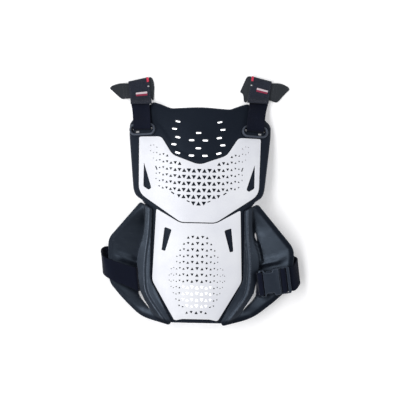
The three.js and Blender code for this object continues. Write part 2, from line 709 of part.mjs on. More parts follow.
function plugGeometry() {
  const frame = rectangle(PLUG.inner, PLUG.outer, PLUG.width, PLUG.round);
  for (const { from, to } of PLUG_SLOTS) {
    frame.holes.push(rectangle(from, to, PLUG_SLOT.width, PLUG_SLOT.round));
  }
  const parts = [slab([frame], PLUG.height)];
  parts.push(slab([rectangle(GUIDE.tip, PRONG.root, GUIDE.width, GUIDE.round)], PRONG.height));
  const arm = rectangle(THUMB_NOTCH.out, PRONG.root, PRONG.arm_out - PRONG.arm_in, PRONG.round);
  for (const side of [1, -1]) {
    const middle = (side * (PRONG.arm_in + PRONG.arm_out)) / 2;
    parts.push(slab([arm], PRONG.height).translate(0, middle, 0));
    const pad = stadium(THUMB_NOTCH.out, side * PRONG_PAD.y, PRONG_PAD.length, PRONG_PAD.width, 0);
    parts.push(slab([pad], PRONG.height));
  }
  return geometryOf(wasm.Manifold.union(parts));
}

function beltGeometry() {
  const left = BELT_ON_WING.map(({ x, y, lift, lean }) => {
    const step = new THREE.Vector2(0, PROBE).rotateAround(new THREE.Vector2(), -degToRad(lean));
    const at = (sign) => {
      const point = onWing(x + sign * step.x, y + sign * step.y, lift, WING_SPREAD.left);
      return point.setX(-point.x);
    };
    return evenSection(at(0), at(1).sub(at(-1)), BELT_WIDTH);
  });
  const behind = BELT_BEHIND.map((row) => {
    const lean = degToRad(row.lean);
    const tip = degToRad(row.tip);
    const across = new THREE.Vector3(-Math.sin(lean), Math.cos(lean), Math.sin(tip));
    return evenSection(new THREE.Vector3(row.x, row.y, row.z), across, BELT_WIDTH);
  });
  return ribbon([...left, ...behind, ...laced(BELT_LACING, BELT_WIDTH)], WEB_WALL);
}

// Assembly
const protector = new THREE.Group();
protector.name = "motocross_chest_protector";

function add(name, geometry, look) {
  const mesh = new THREE.Mesh(geometry, new THREE.MeshStandardMaterial(MATERIALS[look]));
  mesh.name = name;
  mesh.material.name = look;
  protector.add(mesh);
  return mesh;
}

function addCuffPiece(name, geometry, look, hand) {
  const place = CUFF_PLACE[hand];
  const mesh = add(name, geometry, look);
  mesh.position.set(place.x, place.y, 0);
  mesh.rotation.z = degToRad(place.turn);
  mesh.scale.x = Math.sign(place.x);
}

add("chassis", chassisGeometry(), "black_chassis");
add("chest_plate", plateGeometry(CHEST_EDGE, CHEST_VENT, CHEST_HOLES, CHEST_ROWS), "white_plastic");
add("abdomen_plate", plateGeometry(ABDOMEN_EDGE, ABDOMEN_VENT, ABDOMEN_HOLES, ABDOMEN_ROWS), "white_plastic");
for (const [hand, side] of [["left", -1], ["right", 1]]) {
  add(`wing_${hand}`, wingGeometry(hand), "black_wing").scale.x = side;
  add(`keeper_${hand}`, keeperGeometry(side), "black_keeper").scale.x = side;
  add(`shoulder_strap_${hand}`, shoulderStrapGeometry(side), "black_webbing").scale.x = side;
  addCuffPiece(`cuff_${hand}`, cuffGeometry(), "cuff_fabric", hand);
  addCuffPiece(`tab_strap_${hand}`, tabStrapGeometry(TAB_PATH[hand]), "black_webbing", hand);
  addCuffPiece(`pull_tab_${hand}`, cuffPatchGeometry(PULL_TAB, PULL_PLACE), "red_ribbon", hand);
  addCuffPiece(`label_${hand}`, cuffPatchGeometry(LABEL, LABEL_PLACE[hand]), "label_weave", hand);
}
add("waist_belt", beltGeometry(), "black_webbing");
add("buckle_anchor", ribbon(laced(ANCHOR_LACING, ANCHOR_WIDTH), WEB_WALL), "black_webbing");
add("buckle_socket", socketGeometry(), "black_buckle").applyMatrix4(buckleFrame());
add("buckle_plug", plugGeometry(), "black_buckle").applyMatrix4(buckleFrame());

export default protector;
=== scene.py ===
# Motocross chest protector, laid on its back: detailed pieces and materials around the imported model.
# Sizes are in millimetres until a mesh is made. +X right, +Y to the shoulders, +Z out of the chest.
from math import ceil, copysign, cos, dist, pi, radians, sin, sqrt, tau
from types import SimpleNamespace as Sizes

import bmesh
import bpy
from mathutils import Matrix, Vector
from mathutils.geometry import delaunay_2d_cdt
from mathutils.kdtree import KDTree


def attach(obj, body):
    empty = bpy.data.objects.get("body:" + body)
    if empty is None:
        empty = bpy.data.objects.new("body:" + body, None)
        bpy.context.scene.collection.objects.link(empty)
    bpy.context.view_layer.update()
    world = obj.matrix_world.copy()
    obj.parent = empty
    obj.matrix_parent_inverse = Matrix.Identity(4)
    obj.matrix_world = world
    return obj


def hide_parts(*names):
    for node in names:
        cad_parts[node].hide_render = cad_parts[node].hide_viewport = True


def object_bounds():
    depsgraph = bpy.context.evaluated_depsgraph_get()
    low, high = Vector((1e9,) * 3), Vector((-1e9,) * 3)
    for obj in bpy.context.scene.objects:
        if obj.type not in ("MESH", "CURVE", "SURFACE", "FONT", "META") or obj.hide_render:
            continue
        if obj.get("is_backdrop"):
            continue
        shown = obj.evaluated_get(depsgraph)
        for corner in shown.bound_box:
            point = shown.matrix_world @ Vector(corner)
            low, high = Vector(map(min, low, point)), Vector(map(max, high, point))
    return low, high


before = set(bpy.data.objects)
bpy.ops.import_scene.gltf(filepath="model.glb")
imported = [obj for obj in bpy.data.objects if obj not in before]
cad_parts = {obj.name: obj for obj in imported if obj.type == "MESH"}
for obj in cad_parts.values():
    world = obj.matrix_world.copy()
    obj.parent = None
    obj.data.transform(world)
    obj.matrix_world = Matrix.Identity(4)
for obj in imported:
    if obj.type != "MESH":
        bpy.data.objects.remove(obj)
cad_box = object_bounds()

MM = 0.001
BODY = "root"
HANDS = {"left": -1, "right": 1}
RIGHT = Vector((1, 0, 0))
UP = Vector((0, 0, 1))

# Torso curve, followed by the front face of the chassis
CROWN_Z = 74
GIRTH_RADIUS = 300
GIRTH_REACH = 110
CREST_Y = 130
COLLAR_RADIUS = 426
BELLY_RADIUS = 1300

# Walls and gaps
CHASSIS_WALL = 6
PLATE_WALL = 3
WING_WALL = 4
GAP = 0.5
# Rounded edges: reach in from the rim and down from the front
ROUND = {
    "chassis": (3.4, 2.6), "slot": (0.3, 0.3), "window": (1, 1), "plate": (0.9, 0.9), "vent": (0.7, 0.7),
    "wing": (1.6, 1.6), "wing_slit": (0.4, 0.4), "label": (0.4, 0.35), "socket": (1.5, 1.3),
    "socket_back": (0.8, 0.8), "core": (0.2, 0.2), "lacing": (0.6, 0.6), "plug": (0.75, 0.75),
    "prong": (0.6, 0.6), "pad": (1.2, 1.2),
}

# Half outlines, right side, from the top of the middle line to its foot: x, y, round
CHASSIS_EDGE = [
    (0, 316, 20), (60, 312, 6), (81, 320.5, 8), (96.5, 324.8, 5), (143, 281, 8), (143.3, 258, 10),
    (131.5, 137, 18), (115, 126, 2), (101.6, 107.5, 6), (101, -28, 12), (56, -119, 8),
]
CHEST_EDGE = [(0, 197.5, 12), (54, 217, 9), (77, 253, 7), (121, 252, 4), (119, 140, 16), (35, 83.5, 8)]
ABDOMEN_EDGE = [(35, 81.5, 8), (83.5, 109, 4), (88.8, -34, 8), (42.8, -113.5, 5), (27, -110, 4)]
CHEST_VENT = [(110, 201, 3), (110, 153, 3), (99, 146, 3), (94, 150, 3)]
ABDOMEN_VENT = [(66, 73, 3), (71, 27, 2), (64, 25, 2), (52, 68, 3)]

# Chassis: bib slots (x, y, turn), strap slots, belly window and the sunk field of the bib
BIB_SLOT = Sizes(length=11, width=4.4, shift=-3)
BIB_SLOTS = [
    (42.5, 285.5, 13), (49, 270.5, 8), (42, 253.5, 13), (49.5, 239, 5), (41.5, 222, 17),
    (0, 263, 0), (13.8, 248, 0), (0, 232, 0), (13.6, 217, 0),
]
# Slots under the keepers, right side: x, y, length, width
STRAP_SLOT = (113.4, 269.1, 41, 4.6)
PEEP_SLOT = (123.4, 262.6, 8.4, 5)
# Belly window: x from and to, y from and to, round
WINDOW = (-30, 30, -87.5, -39.5, 10)
BIB_FIELD = [(0, 206, 10), (50, 226, 8), (73, 262, 8), (95, 286, 8), (95, 340, 2), (0, 340, 2)]
BIB_SINK = 1.1
BIB_STEP = 3.5
RIM_FALL = 1.8
RIM_WIDTH = 11

# Holes: rows of upright and inverted triangles, as row, first and last column on each side
CHEST_HOLES = Sizes(
    pitch=10.6, squeeze=0.21, top=237.8, drop=13, bend=0.076, side=9.5, taper=0.8, odd=1, least=2.6,
)
CHEST_ROWS = [
    (1, 10, 12), (2, 7, 12), (3, 4, 11), (4, 0, 9), (5, 0, 10), (6, 0, 10), (7, 0, 9), (8, 0, 4), (9, 0, 1),
]
ABDOMEN_HOLES = Sizes(
    pitch=10.2, squeeze=0.42, top=53.6, drop=12.5, bend=0, side=7.2, taper=0.8, odd=0, least=2.6,
)
ABDOMEN_ROWS = [(row, 0, last) for row, last in enumerate([2, 3, 4, 5, 5, 7, 8, 8, 7, 6, 5, 4, 2])]
HOLE_STAGGER = 1.2
HOLE_LIP = Sizes(most=0.4, share=0.1)
HOLE_CORNER = 0.12
# Slits that close the field of the chest plate, left side: x, y, length, width, turn
CHEST_SLITS = [(-85, 190, 9, 2.2, -68), (-51.5, 141, 8, 2.4, -33), (-20.5, 125, 7, 2, -23)]

# Wing outline, right side: the corner of the shoulder, then the corners before it and after it
WING_SHOULDER = {"left": (185, 48, 12), "right": (183, 37, 12)}
WING_TOP = [(90, 109, 5), (116.5, 122, 5)]
WING_OUTER = [(185, 18, 6), (181, -40, 12), (152, -71, 20), (110, -107, 20), (52, -123, 6)]
WING_INNER = [(49, -114, 2), (91.5, -31, 10), (91.5, 4, 15)]
WING_HINGE = 104
WING_SPREAD = {"left": 0.91, "right": 1.09}
WING_RAISE = Sizes(slope=0.32, length=40)
# Rows of the wing's ridge: y, crest, foot, share of its height lost at the foot
RIDGE = [
    (122, 95, 106, 0.7), (60, 97, 109, 0.7), (15, 102, 121, 0.7), (-20, 103, 120.4, 0.9), (-58, 98, 115, 0.9),
    (-92, 77, 91, 0.9), (-125, 53, 64, 0.9),
]
RIDGE_HEIGHT = 5
RIDGE_FADE = 14
# Inside its crest the ridge steps down to a sloped band, with a fine painted highlight line along it
INNER_STEP = Sizes(width=3, share=0.6, slope=0.25)
BAND_LINE = 5.4
LINE_WIDTH = Sizes(crest=0.9, band=0.8)
# Distances from the wing's edge over which the painted highlight lines set in and the matte border ends
PAINTED_HIGHLIGHT_FADE = (4, 12)
MATTE_FADE = (7, 12)
FOOT_WALL = Sizes(inner=1.7, outer=2.8)
SCOOP_DEPTH = 19
SCOOP_BORDER = 9
SCOOP_FADE = 30
LIP = Sizes(y=-1, rise=0.33, height=4, width=9, fade=22)
# Slits through the wing along the foot of its ridge: y, reach inward and outward from the foot
LOWER_SLIT = [
    (-4, 1.6, 1.6), (-10, 3, 3), (-30, 3.6, 3.6), (-56, 4.6, 7), (-64, 5, 8), (-72, 4, 7.6), (-82, 2.2, 6),
    (-91, 0.7, 3),
]
UPPER_SLIT = [(65, -8.8, 9.6), (60, -7.8, 11), (54, -8, 11.2), (48, -9, 10)]
WING_SLITS = {"left": [LOWER_SLIT], "right": [UPPER_SLIT, LOWER_SLIT]}
# Groove between the two slits of the right wing
SLIT_GROOVE = Sizes(start=2, end=50, out=9.4, width=2.4, fade=6, depth=3, hand="right")

# Shoulder strap hardware and straps, right side; on both sides it lies off the mirror's line by a shift
HARDWARE_SHIFT = -3
KEEPER = Sizes(x=112, y=266, turn=-3.5, length=52.4, width=24, wall=4.6, height=6)
# Round of the keeper's rim: shares of its half wall and of its height
KEEPER_ROUND = [(-1, 0.55), (-0.82, 0.8), (-0.35, 0.97), (0.3, 1.0333), (0.75, 0.85), (1, 0.5)]
WEB_WALL = 2
SHOULDER_WIDTH = 37.5
SHOULDER_SKEW = -0.06
# x, y, lift, bank in degrees, and whether the lift is above the chassis or above the ground
SHOULDER_PATH = [
    (115.6, 272.8, -14, 21, True), (113.4, 267.5, 0, 21, True), (111.8, 266.7, 5, 21, True),
    (110.8, 269.8, 8.6, 21, True), (110.8, 274.2, 9.6, 21, True), (111.2, 281.5, 9.2, 21, True),
    (112.8, 294, 7.6, 20, True), (114.4, 306, 7, 18, True), (118, 317, 15.5, 11, False),
    (119.2, 323, 11.5, 4, False), (119.8, 328, 7.2, 0, False),
]

# Cuff, its tab strap, pull tab and label, in the cuff's own frame: out, up and height
CUFF = Sizes(width=42, length=50, height=11, wall=2.2)
CUFF_PLACE = {"left": (-123, 343.5, 8), "right": (118.1, 349.7, -8)}
CUFF_TAPER = 0.004
CUFF_FRONT = [(-25, 21.5), (-17, 14), (-10.5, 9.9)]
CUFF_FOLD_STEPS = 6
# Seams along its front end: run, reach, share of the wall that they take up
CUFF_SEAMS = [(3, 1.2, 0.2), (6, 1.2, 0.2)]
CUFF_STITCHES = Sizes(rows=(-22, -19), side=(-16, 20, 2), inset=2.6)
TAB_WALL = 2.4
TAB_RISE = 0.105
# out, low and high edge, height of its middle
TAB_PATH = {
    "left": [
        (-29.8, 8, 18.5, 1.6), (-28, -2, 25, 2), (-25.5, -17.5, 28.5, 2.6), (-22, -16, 28, 4),
        (-20, -12, 20, 5), (-16, -12, 17, 5.5), (22, -14, 17, 5.5), (30, -14.2, 17, 4.4),
        (38, -14.2, 17, 3.2), (48, -5, 14.6, 2), (55, 2.5, 12, 1.6), (58.7, 6, 8.5, 1.6),
    ],
    "right": [
        (-38.4, -4.8, -1.5, 1.6), (-33.5, -7.5, 16, 1.9), (-30.5, -13, 26, 2.3), (-28, -23, 28, 2.8),
        (-22, -23, 28, 4), (-20, -15, 20, 5), (-16, -15, 17, 5.5), (22, -18, 17, 5.5), (30, -20, 17.8, 4.4),
        (38.5, -20.5, 17.4, 3.2), (47, -9, 15, 2), (54.5, 1, 11.5, 1.6), (57.8, 5, 8, 1.6),
    ],
}
# Seams across it: out, height
TAB_SEAMS = [(27, 5.592), (33, 4.602)]
TAB_SEAM = Sizes(run=(-12, 0, 15), reach=1.6, depth=0.35)
PULL_TAB = Sizes(out=-18.4, up=20.3, width=4.4, wall=0.5, step=0.8)
# Its fold, from its middle: up, height
PULL_FOLD = [
    (-4.5, 0.1), (-1.5, 0), (2.5, 0), (4.1, 0.1), (4.5, 0.45), (4.1, 0.85), (2.5, 0.95), (-1.5, 0.9),
    (-4, 0.75),
]
# Bar tack under it
TACK = Sizes(up=8.6, rows=3, drop=0.7, width=4, stitch=3.8, radius=0.34)
LABEL = Sizes(width=23, length=7.6, wall=0.8, corner=0.8, curl=0.25, cell=1.2)
LABEL_PLACE = {"left": (-3, -5.4, 0), "right": (4.6, 0.6, -5)}

# Waist belt: its left end on the wing (x, y, lift, lean) and the run behind (x, y, z, lean, tip)
BELT_WIDTH = 48
BELT_ON_WING = [
    (119, -33.5, -22, 8), (119.3, -33.5, -3, 8), (121, -32.8, 3.5, 9), (132, -29, 5.4, 14),
    (155, -21.5, 7, 19), (176, -15, 7.4, 20),
]
BELT_BEHIND = [
    (-182, -10.5, 39.6, 16, 8), (-188.5, -4, 32, 10, 5), (-190.5, 2, 18, 5, 2), (-187, 6, 6, 1, 0),
    (-176, 7, 1, 0, 0), (-140, 0, 1, 0, 0), (140, 0, 1, 0, 0), (188, -3, 1, 0, 0),
    (199, -6, 5, 3, 0), (203, -9, 16, 6, 1), (202.5, -13, 30, 9, 3),
]
# Side-release buckle on the right wing: out runs from the ridge to the wing's edge
BUCKLE = Sizes(x=143.2, y=-31, turn=10, lift=13.8)
SOCKET = Sizes(inner=-28, outer=13, width=54, height=11, round=6, skin=2.8)
SOCKET_CROWN = Sizes(rise=0.7, dip=0.9, dip_from=4)
SOCKET_LAP = 0.1
# Rectangles in the buckle's frame: out from and to, up from and to, round
SOCKET_SLOT = (-23.5, -19, -25, 25, 1.5)
SOCKET_BLOCK = (-27.7, -16, -26.7, 26.7, 6)
SOCKET_RAILS = [(2, 12.7, 22, 26.7, 1), (2, 12.7, -26.7, -22, 1)]
PLUG_BODY = (13.5, 35, -27, 27, 4)
PLUG_SLOTS = [(15.6, 20.4, -25, 25, 1.2), (24.4, 29.2, -25, 25, 1.2)]
PLUG_BARS = [(-15.5, 14.5, -4, 4, 2), (-7.5, 14.5, 13, 18, 1), (-7.5, 14.5, -18, -13, 1)]
PLUG_WALL = 5
PRONG = Sizes(pad=19, length=13, width=9, wall=4.4)
THUMB_NOTCH = Sizes(out=-7.5, length=17, depth=6.5, round=4)
# Straps laced through the buckle: out, height, twist
BELT_LACING = [
    (43, -5.4, 0), (31, -4.6, 0), (28.4, -3.9, 0), (27, -0.5, 0), (26.6, 2.8, 0), (25, 4.3, 0),
    (19.8, 4.3, 0), (18.2, 2.8, 0), (17.8, -0.5, 0), (17.8, -5, 0),
]
ANCHOR_WIDTH = 46
ANCHOR_LACING = [
    (-21.2, -4, 0), (-21.2, 5, 0), (-22, 6.9, 0), (-24, 7.6, 0), (-27.6, 7.6, 0), (-29.6, 5.4, 0),
    (-29.6, -2, 0), (-29.6, -5.8, 1), (-29.2, -8.8, 12), (-28.5, -14, 15), (-27.5, -24, 15), (-26.4, -35, 15),
]

# Camera, floor and light
PHOTO_SIDE = 800
PHOTO_MIDDLE = (2.7, 128, 45)
PHOTO_ROLL = 1.27
CAMERA_DISTANCE = 7000
SENSOR_SIDE = 36
FLOOR = Sizes(half_side=6, sink=0.0004, glow=0.18)
WORLD_GLOW = 0.34
# Lamps, in metres and watts: name, place, target, size, power. The last lights the ground under the slots.
AIM = (0, 0.12, 0.04)
LAMPS = [
    ("key", (-1.0, 0.08, 2.15), AIM, (3.4, 0.9), 46),
    ("fill", (1.6, 0.5, 1.75), AIM, (1.4, 1.2), 13),
    ("side", (-2.1, 0.3, 0.9), AIM, (1.6, 0.6), 12),
    ("ground", (0, 0.1, 0.016), (0, 0.1, 0), (0.17, 0.4), 0.5),
]

# Mesh steps, and the triangulation's mode that leaves the holes empty
INSIDE_WITHOUT_HOLES = 2
CORNER_STEPS = 6
EDGE_STEP = 4
DISTANCE_STEP = 0.4
PLATE_CELL = 4
WING_CELL = 2.4
SUPPORT = 0.3
# Room that added mesh points keep: from each other in cells, and from rims and holes
POINT_ROOM = 0.55
RIM_ROOM = Sizes(chassis=6, wing=3)
HOLE_ROOM = 2
BACK_BEVEL = 0.8
STRAP_STEP = 2.5
BUCKLE_CELL = 3
# Extra mesh lines along a wing's ridge: from, to and step in y, and how far they lie from its foot
RIDGE_RANGE = (-118, 118, 2)
FOOT_LINES = [-2.4, -1.2, 0, 1.4, 2.8]


def mix(start, end, share):
    return start + (end - start) * share


def smoothstep(low, high, value):
    share = min(max((value - low) / (high - low), 0), 1)
    return share * share * (3 - 2 * share)


def bump(offset, width):
    return 1 - smoothstep(0, width, abs(offset))


# Torso curve
def girth_drop(x):
    bent = min(abs(x), GIRTH_REACH)
    level = sqrt(GIRTH_RADIUS**2 - bent**2)
    return GIRTH_RADIUS - level + (abs(x) - bent) * bent / level


def front_z(x, y):
    away = y - CREST_Y
    radius = COLLAR_RADIUS if away > 0 else BELLY_RADIUS
    return CROWN_Z - girth_drop(x) - away**2 / (2 * radius)


def on_front(x, y, lift):
    slope_x = front_z(x + 0.5, y) - front_z(x - 0.5, y)
    slope_y = front_z(x, y + 0.5) - front_z(x, y - 0.5)
    normal = Vector((-slope_x, -slope_y, 1)).normalized()
    return Vector((x, y, front_z(x, y))) + normal * lift


def on_wing(hand):
    side = HANDS[hand]
    spread = WING_SPREAD[hand] - 1

    def place(x, y, lift):
        point = on_front(x, y, lift)
        away = max(0, point.x - WING_HINGE)
        point.z += WING_RAISE.slope * away**2 / (away + WING_RAISE.length)
        point.x = side * (point.x + spread * away)
        return point

    return place


# Outlines
def refined(loop, step=EDGE_STEP):
    points = []
    for i, start in enumerate(loop):
        run = loop[(i + 1) % len(loop)] - start
        if run.length < 0.02:
            continue
        parts = max(1, ceil(run.length / step))
        points += [start + run * (k / parts) for k in range(parts)]
    return points


def turned_left(loop):
    area = sum(loop[i - 1].cross(loop[i]) for i in range(len(loop)))
    return loop if area > 0 else loop[::-1]


def rounded(corners, steps=CORNER_STEPS, step=EDGE_STEP):
    loop = []
    for i, (x, y, setback) in enumerate(corners):
        here = Vector((x, y))
        ends = []
        for j in (i - 1, (i + 1) % len(corners)):
            edge = Vector(corners[j][:2]) - here
            ends.append(here + edge.normalized() * min(setback, edge.length * 0.48))
        for k in range(steps + 1):
            t = k / steps
            loop.append(ends[0] * (1 - t) ** 2 + here * (2 * t * (1 - t)) + ends[1] * t**2)
    return turned_left(refined(loop, step))


def flipped(corners):
    return [(-x, y, setback) for x, y, setback in reversed(corners)]


def whole(half):
    return rounded(half + flipped([corner for corner in half if corner[0] > 0]))


def stadium(x, y, length, width, turn=0, steps=6):
    half = (length - width) / 2
    spin = Matrix.Rotation(radians(turn), 2)
    loop = []
    for end in (1, -1):
        for k in range(steps + 1):
            angle = pi * (k / steps - 0.5)
            arc = Vector((half + width / 2 * cos(angle), width / 2 * sin(angle)))
            loop.append(spin @ (arc * end) + Vector((x, y)))
    return refined(loop)


def rectangle(x0, x1, y0, y1, setback):
    return rounded([(x0, y0, setback), (x1, y0, setback), (x1, y1, setback), (x0, y1, setback)])


def triangle(x, y, side, upright):
    point = 1 if upright else -1
    height = side * sqrt(3) / 2
    corners = [
        (x - side / 2, y - point * height / 3, side * HOLE_CORNER),
        (x + side / 2, y - point * height / 3, side * HOLE_CORNER),
        (x, y + point * height * 2 / 3, side * HOLE_CORNER),
    ]
    return rounded(corners, steps=2)


def hole_field(lattice, rows):
    holes = []
    for row, first, last in rows:
        for column in range(-last, last + 1):
            away = abs(column)
            if away < first:
                continue
            upright = (away + row + lattice.odd) % 2 == 0
            x = copysign(lattice.pitch * away - lattice.squeeze * away**2, column)
            y = lattice.top - lattice.drop * row + lattice.bend * away**2
            y += -HOLE_STAGGER if upright else HOLE_STAGGER
            shrink = lattice.taper * max(0, away - 2 * lattice.odd)
            side = max(lattice.side - shrink, lattice.least)
            lip = min(HOLE_LIP.most, side * HOLE_LIP.share)
            holes.append((triangle(x, y, side, upright), (lip, lip)))
    return holes


def offset(loop, distance):
    moved = []
    for i, here in enumerate(loop):
        into = (here - loop[i - 1]).normalized()
        away = (loop[(i + 1) % len(loop)] - here).normalized()
        bisector = Vector((into.y + away.y, -into.x - away.x))
        moved.append(here + bisector * (distance / max(1 + into.dot(away), 0.5)))
    return moved


def distance_among(points):
    """Function of a point: how far it is from the nearest of these."""
    tree = KDTree(len(points))
    for i, point in enumerate(points):
        tree.insert((*point, 0), i)
    tree.balance()
    return lambda point: tree.find((*point, 0))[2]


def distance_to(loop):
    return distance_among(refined(loop, DISTANCE_STEP))


def encloses(loop, point):
    inside = False
    for i, end in enumerate(loop):
        start = loop[i - 1]
        if (start.y > point.y) != (end.y > point.y):
            crossing = start.x + (point.y - start.y) / (end.y - start.y) * (end.x - start.x)
            inside ^= point.x < crossing
    return inside


# Shells: a wall between two lifts, with rounded edges round its outline and round each hole
def edge_profile(inset, drop, back, front):
    rows = []
    for degrees in (0, 22, 45, 68, 90):
        angle = radians(degrees)
        rows.append((inset * (1 - sin(angle)), front - drop * (1 - cos(angle))))
    round_in = min(inset, BACK_BEVEL)
    round_up = min(drop, BACK_BEVEL)
    return rows + [(0, back + round_up), (round_in * 0.3, back + round_up * 0.3), (round_in, back)]


def staggered(loop, cell):
    low_x, high_x = min(p.x for p in loop), max(p.x for p in loop)
    low_y, high_y = min(p.y for p in loop), max(p.y for p in loop)
    rise = cell * sqrt(3) / 2
    for row in range(int((high_y - low_y) / rise) + 1):
        start = low_x + (row % 2) * cell / 2
        for column in range(int((high_x - start) / cell) + 1):
            yield Vector((start + column * cell, low_y + row * rise))


def shell(
    bm, outline, holes, back, front, cell, relief=None, crown=None, place=on_front, extra=(), paler=None,
    rim_wear=1, matte=None,
):
    edge_layer = bm.verts.layers.float.new("edge")
    matte_layer = bm.verts.layers.float.new("matte")
    borders = [(outline[0], outline[1], -1)] + [(loop, bevel, 1) for loop, bevel in holes]
    points, loops = [], []
    for loop, bevel, way in borders:
        loops.append(range(len(points), len(points) + len(loop)))
        points += offset(loop, way * (bevel[0] + SUPPORT))
    points += extra
    to_points = distance_among(points)
    points += [point for point in staggered(outline[0], cell) if to_points(point) > cell * POINT_ROOM]
    rings = [list(loop) for loop in loops]
    flat, _, faces, sources, _, _ = delaunay_2d_cdt(points, [], rings, INSIDE_WITHOUT_HOLES, 1e-6)

    def lifted(point, *lifts):
        rise = relief(point) if relief else 0
        swell = crown(point) / (front - back) if crown else 0
        return [bm.verts.new(place(*point, lift + rise + swell * (lift - back)) * MM) for lift in lifts]

    tops, bottoms = {}, {}
    for face in faces:
        for i in face:
            if i not in tops:
                tops[i], bottoms[i] = lifted(flat[i], front, back)
                # Share of the paler colour on the front face: painted highlight lines, where a piece gives
                # them.
                tops[i][edge_layer] = paler(flat[i]) if paler else 0
                tops[i][matte_layer] = matte(flat[i]) if matte else 0
        bm.faces.new([tops[i] for i in face])
        bm.faces.new([bottoms[i] for i in reversed(face)])
    made = {source: i for i, group in enumerate(sources) for source in group}
    for (loop, bevel, way), places in zip(borders, loops):
        count = len(loop)
        rails = [[tops[made[k]] for k in places]]
        for inset, lift in edge_profile(*bevel, back, front):
            rail = [lifted(point, lift)[0] for point in offset(loop, way * inset)]
            for vert in rail:
                vert[edge_layer] = rim_wear
                vert[matte_layer] = 1
            rails.append(rail)
        rails.append([bottoms[made[k]] for k in places])
        for above, below in zip(rails, rails[1:]):
            for k in range(count):
                after = (k + 1) % count
                bm.faces.new((above[k], above[after], below[after], below[k]))


# Sweeps: a section of (across, up) pairs carried along frames of origin, across and up
def sweep(bm, frames, sections, closed=False):
    weave = bm.loops.layers.uv.get("weave") or bm.loops.layers.uv.new("weave")
    rows = []
    runs = [0]
    for (origin, across, up), section in zip(frames, sections):
        rows.append([bm.verts.new((origin + across * a + up * u) * MM) for a, u in section])
    for i in range(len(frames)):
        runs.append(runs[-1] + (frames[(i + 1) % len(frames)][0] - frames[i][0]).length)
    count = len(rows[0])
    for i in range(len(rows) if closed else len(rows) - 1):
        j = (i + 1) % len(rows)
        for k in range(count):
            after = (k + 1) % count
            face = bm.faces.new((rows[i][k], rows[i][after], rows[j][after], rows[j][k]))
            places = ((i, k, i), (i, after, i), (j, after, i + 1), (j, k, i + 1))
            for corner, (row, column, run) in zip(face.loops, places):
                corner[weave].uv = (sections[row][column][0] * MM, runs[run] * MM)
    if not closed:
        bm.faces.new(rows[0])
        bm.faces.new(rows[-1][::-1])
    return runs[len(rows) - 1]


def spline(rows, step):
    """Smooth rows of numbers, about a step apart along their first three columns."""
    knots = [0]
    for before, after in zip(rows, rows[1:]):
        knots.append(knots[-1] + dist(before[:3], after[:3]))

    def slope(i, column):
        low, high = max(i - 1, 0), min(i + 1, len(rows) - 1)
        return (rows[high][column] - rows[low][column]) / (knots[high] - knots[low])

    made = []
    for i in range(len(rows) - 1):
        span = knots[i + 1] - knots[i]
        parts = max(2, ceil(span / step))
        for k in range(parts + (i == len(rows) - 2)):
            t = k / parts
            weights = (2 * t**3 - 3 * t**2 + 1, t**3 - 2 * t**2 + t, 3 * t**2 - 2 * t**3, t**3 - t**2)
            made.append([
                weights[0] * rows[i][c] + weights[1] * span * slope(i, c)
                + weights[2] * rows[i + 1][c] + weights[3] * span * slope(i + 1, c)
                for c in range(len(rows[0]))
            ])
    return made


def row_at(rows, value):
    """Row for a value of the first column, between the rows of a table on either side of it."""
    value = min(max(value, min(rows[0][0], rows[-1][0])), max(rows[0][0], rows[-1][0]))
    i = next(k for k in range(1, len(rows)) if (rows[k - 1][0] - value) * (rows[k][0] - value) <= 0)
    share = (value - rows[i - 1][0]) / (rows[i][0] - rows[i - 1][0])
    return [mix(start, end, share) for start, end in zip(rows[i - 1], rows[i])]


# Strap's section: shares of its width, the selvedge, and how thin it is between them and at its ends
STRAP_COLUMNS = [0.03, 0.06, 0.1, 0.25, 0.4, 0.5, 0.6, 0.75, 0.9, 0.94, 0.97]
SELVEDGE = 0.08
STRAP_THIN = 0.86
STRAP_END = Sizes(thin=0.5, start=-0.3, end=1.5)


def strap_section(low, high, wall):
    half = wall / 2
    face = []
    for share in STRAP_COLUMNS:
        thin = STRAP_THIN if SELVEDGE < share < 1 - SELVEDGE else 1
        face.append((mix(low, high, share), half * thin))
    edge = [(half * (1 - cos(a)), half * sin(a)) for a in (1.1, 0.55, 0, -0.55, -1.1)]
    right = [(high - inset, up) for inset, up in edge]
    left = [(low + inset, up) for inset, up in reversed(edge)]
    return face + right + [(a, -u) for a, u in reversed(face)] + left


def ribbon(bm, rows, wall, pinches=(), step=STRAP_STEP):
    """Strap along rows of middle, across, low and high edge. Returns its length and its area."""
    flat_rows = [(*middle, *across.normalized(), low, high) for middle, across, low, high in rows]
    smooth = spline(flat_rows, step)
    middles = [Vector(row[:3]) for row in smooth]
    frames, sections = [], []
    run = area = 0
    total = sum((b - a).length for a, b in zip(middles, middles[1:]))
    for i, row in enumerate(smooth):
        along = middles[min(i + 1, len(smooth) - 1)] - middles[max(i - 1, 0)]
        across = Vector(row[3:6]).normalized()
        if i:
            part = (middles[i] - middles[i - 1]).length
            run += part
            area += part * (row[7] - row[6])
        end = min(run, total - run)
        thick = wall * mix(STRAP_END.thin, 1, smoothstep(STRAP_END.start, STRAP_END.end, end))
        for place, reach, depth in pinches:
            thick *= 1 - depth * bump(run - place, reach)
        frames.append((middles[i], across, across.cross(along).normalized()))
        sections.append(strap_section(row[6], row[7], thick))
    sweep(bm, frames, sections)
    return total, area


def even(middle, across, width):
    return middle, across, -width / 2, width / 2


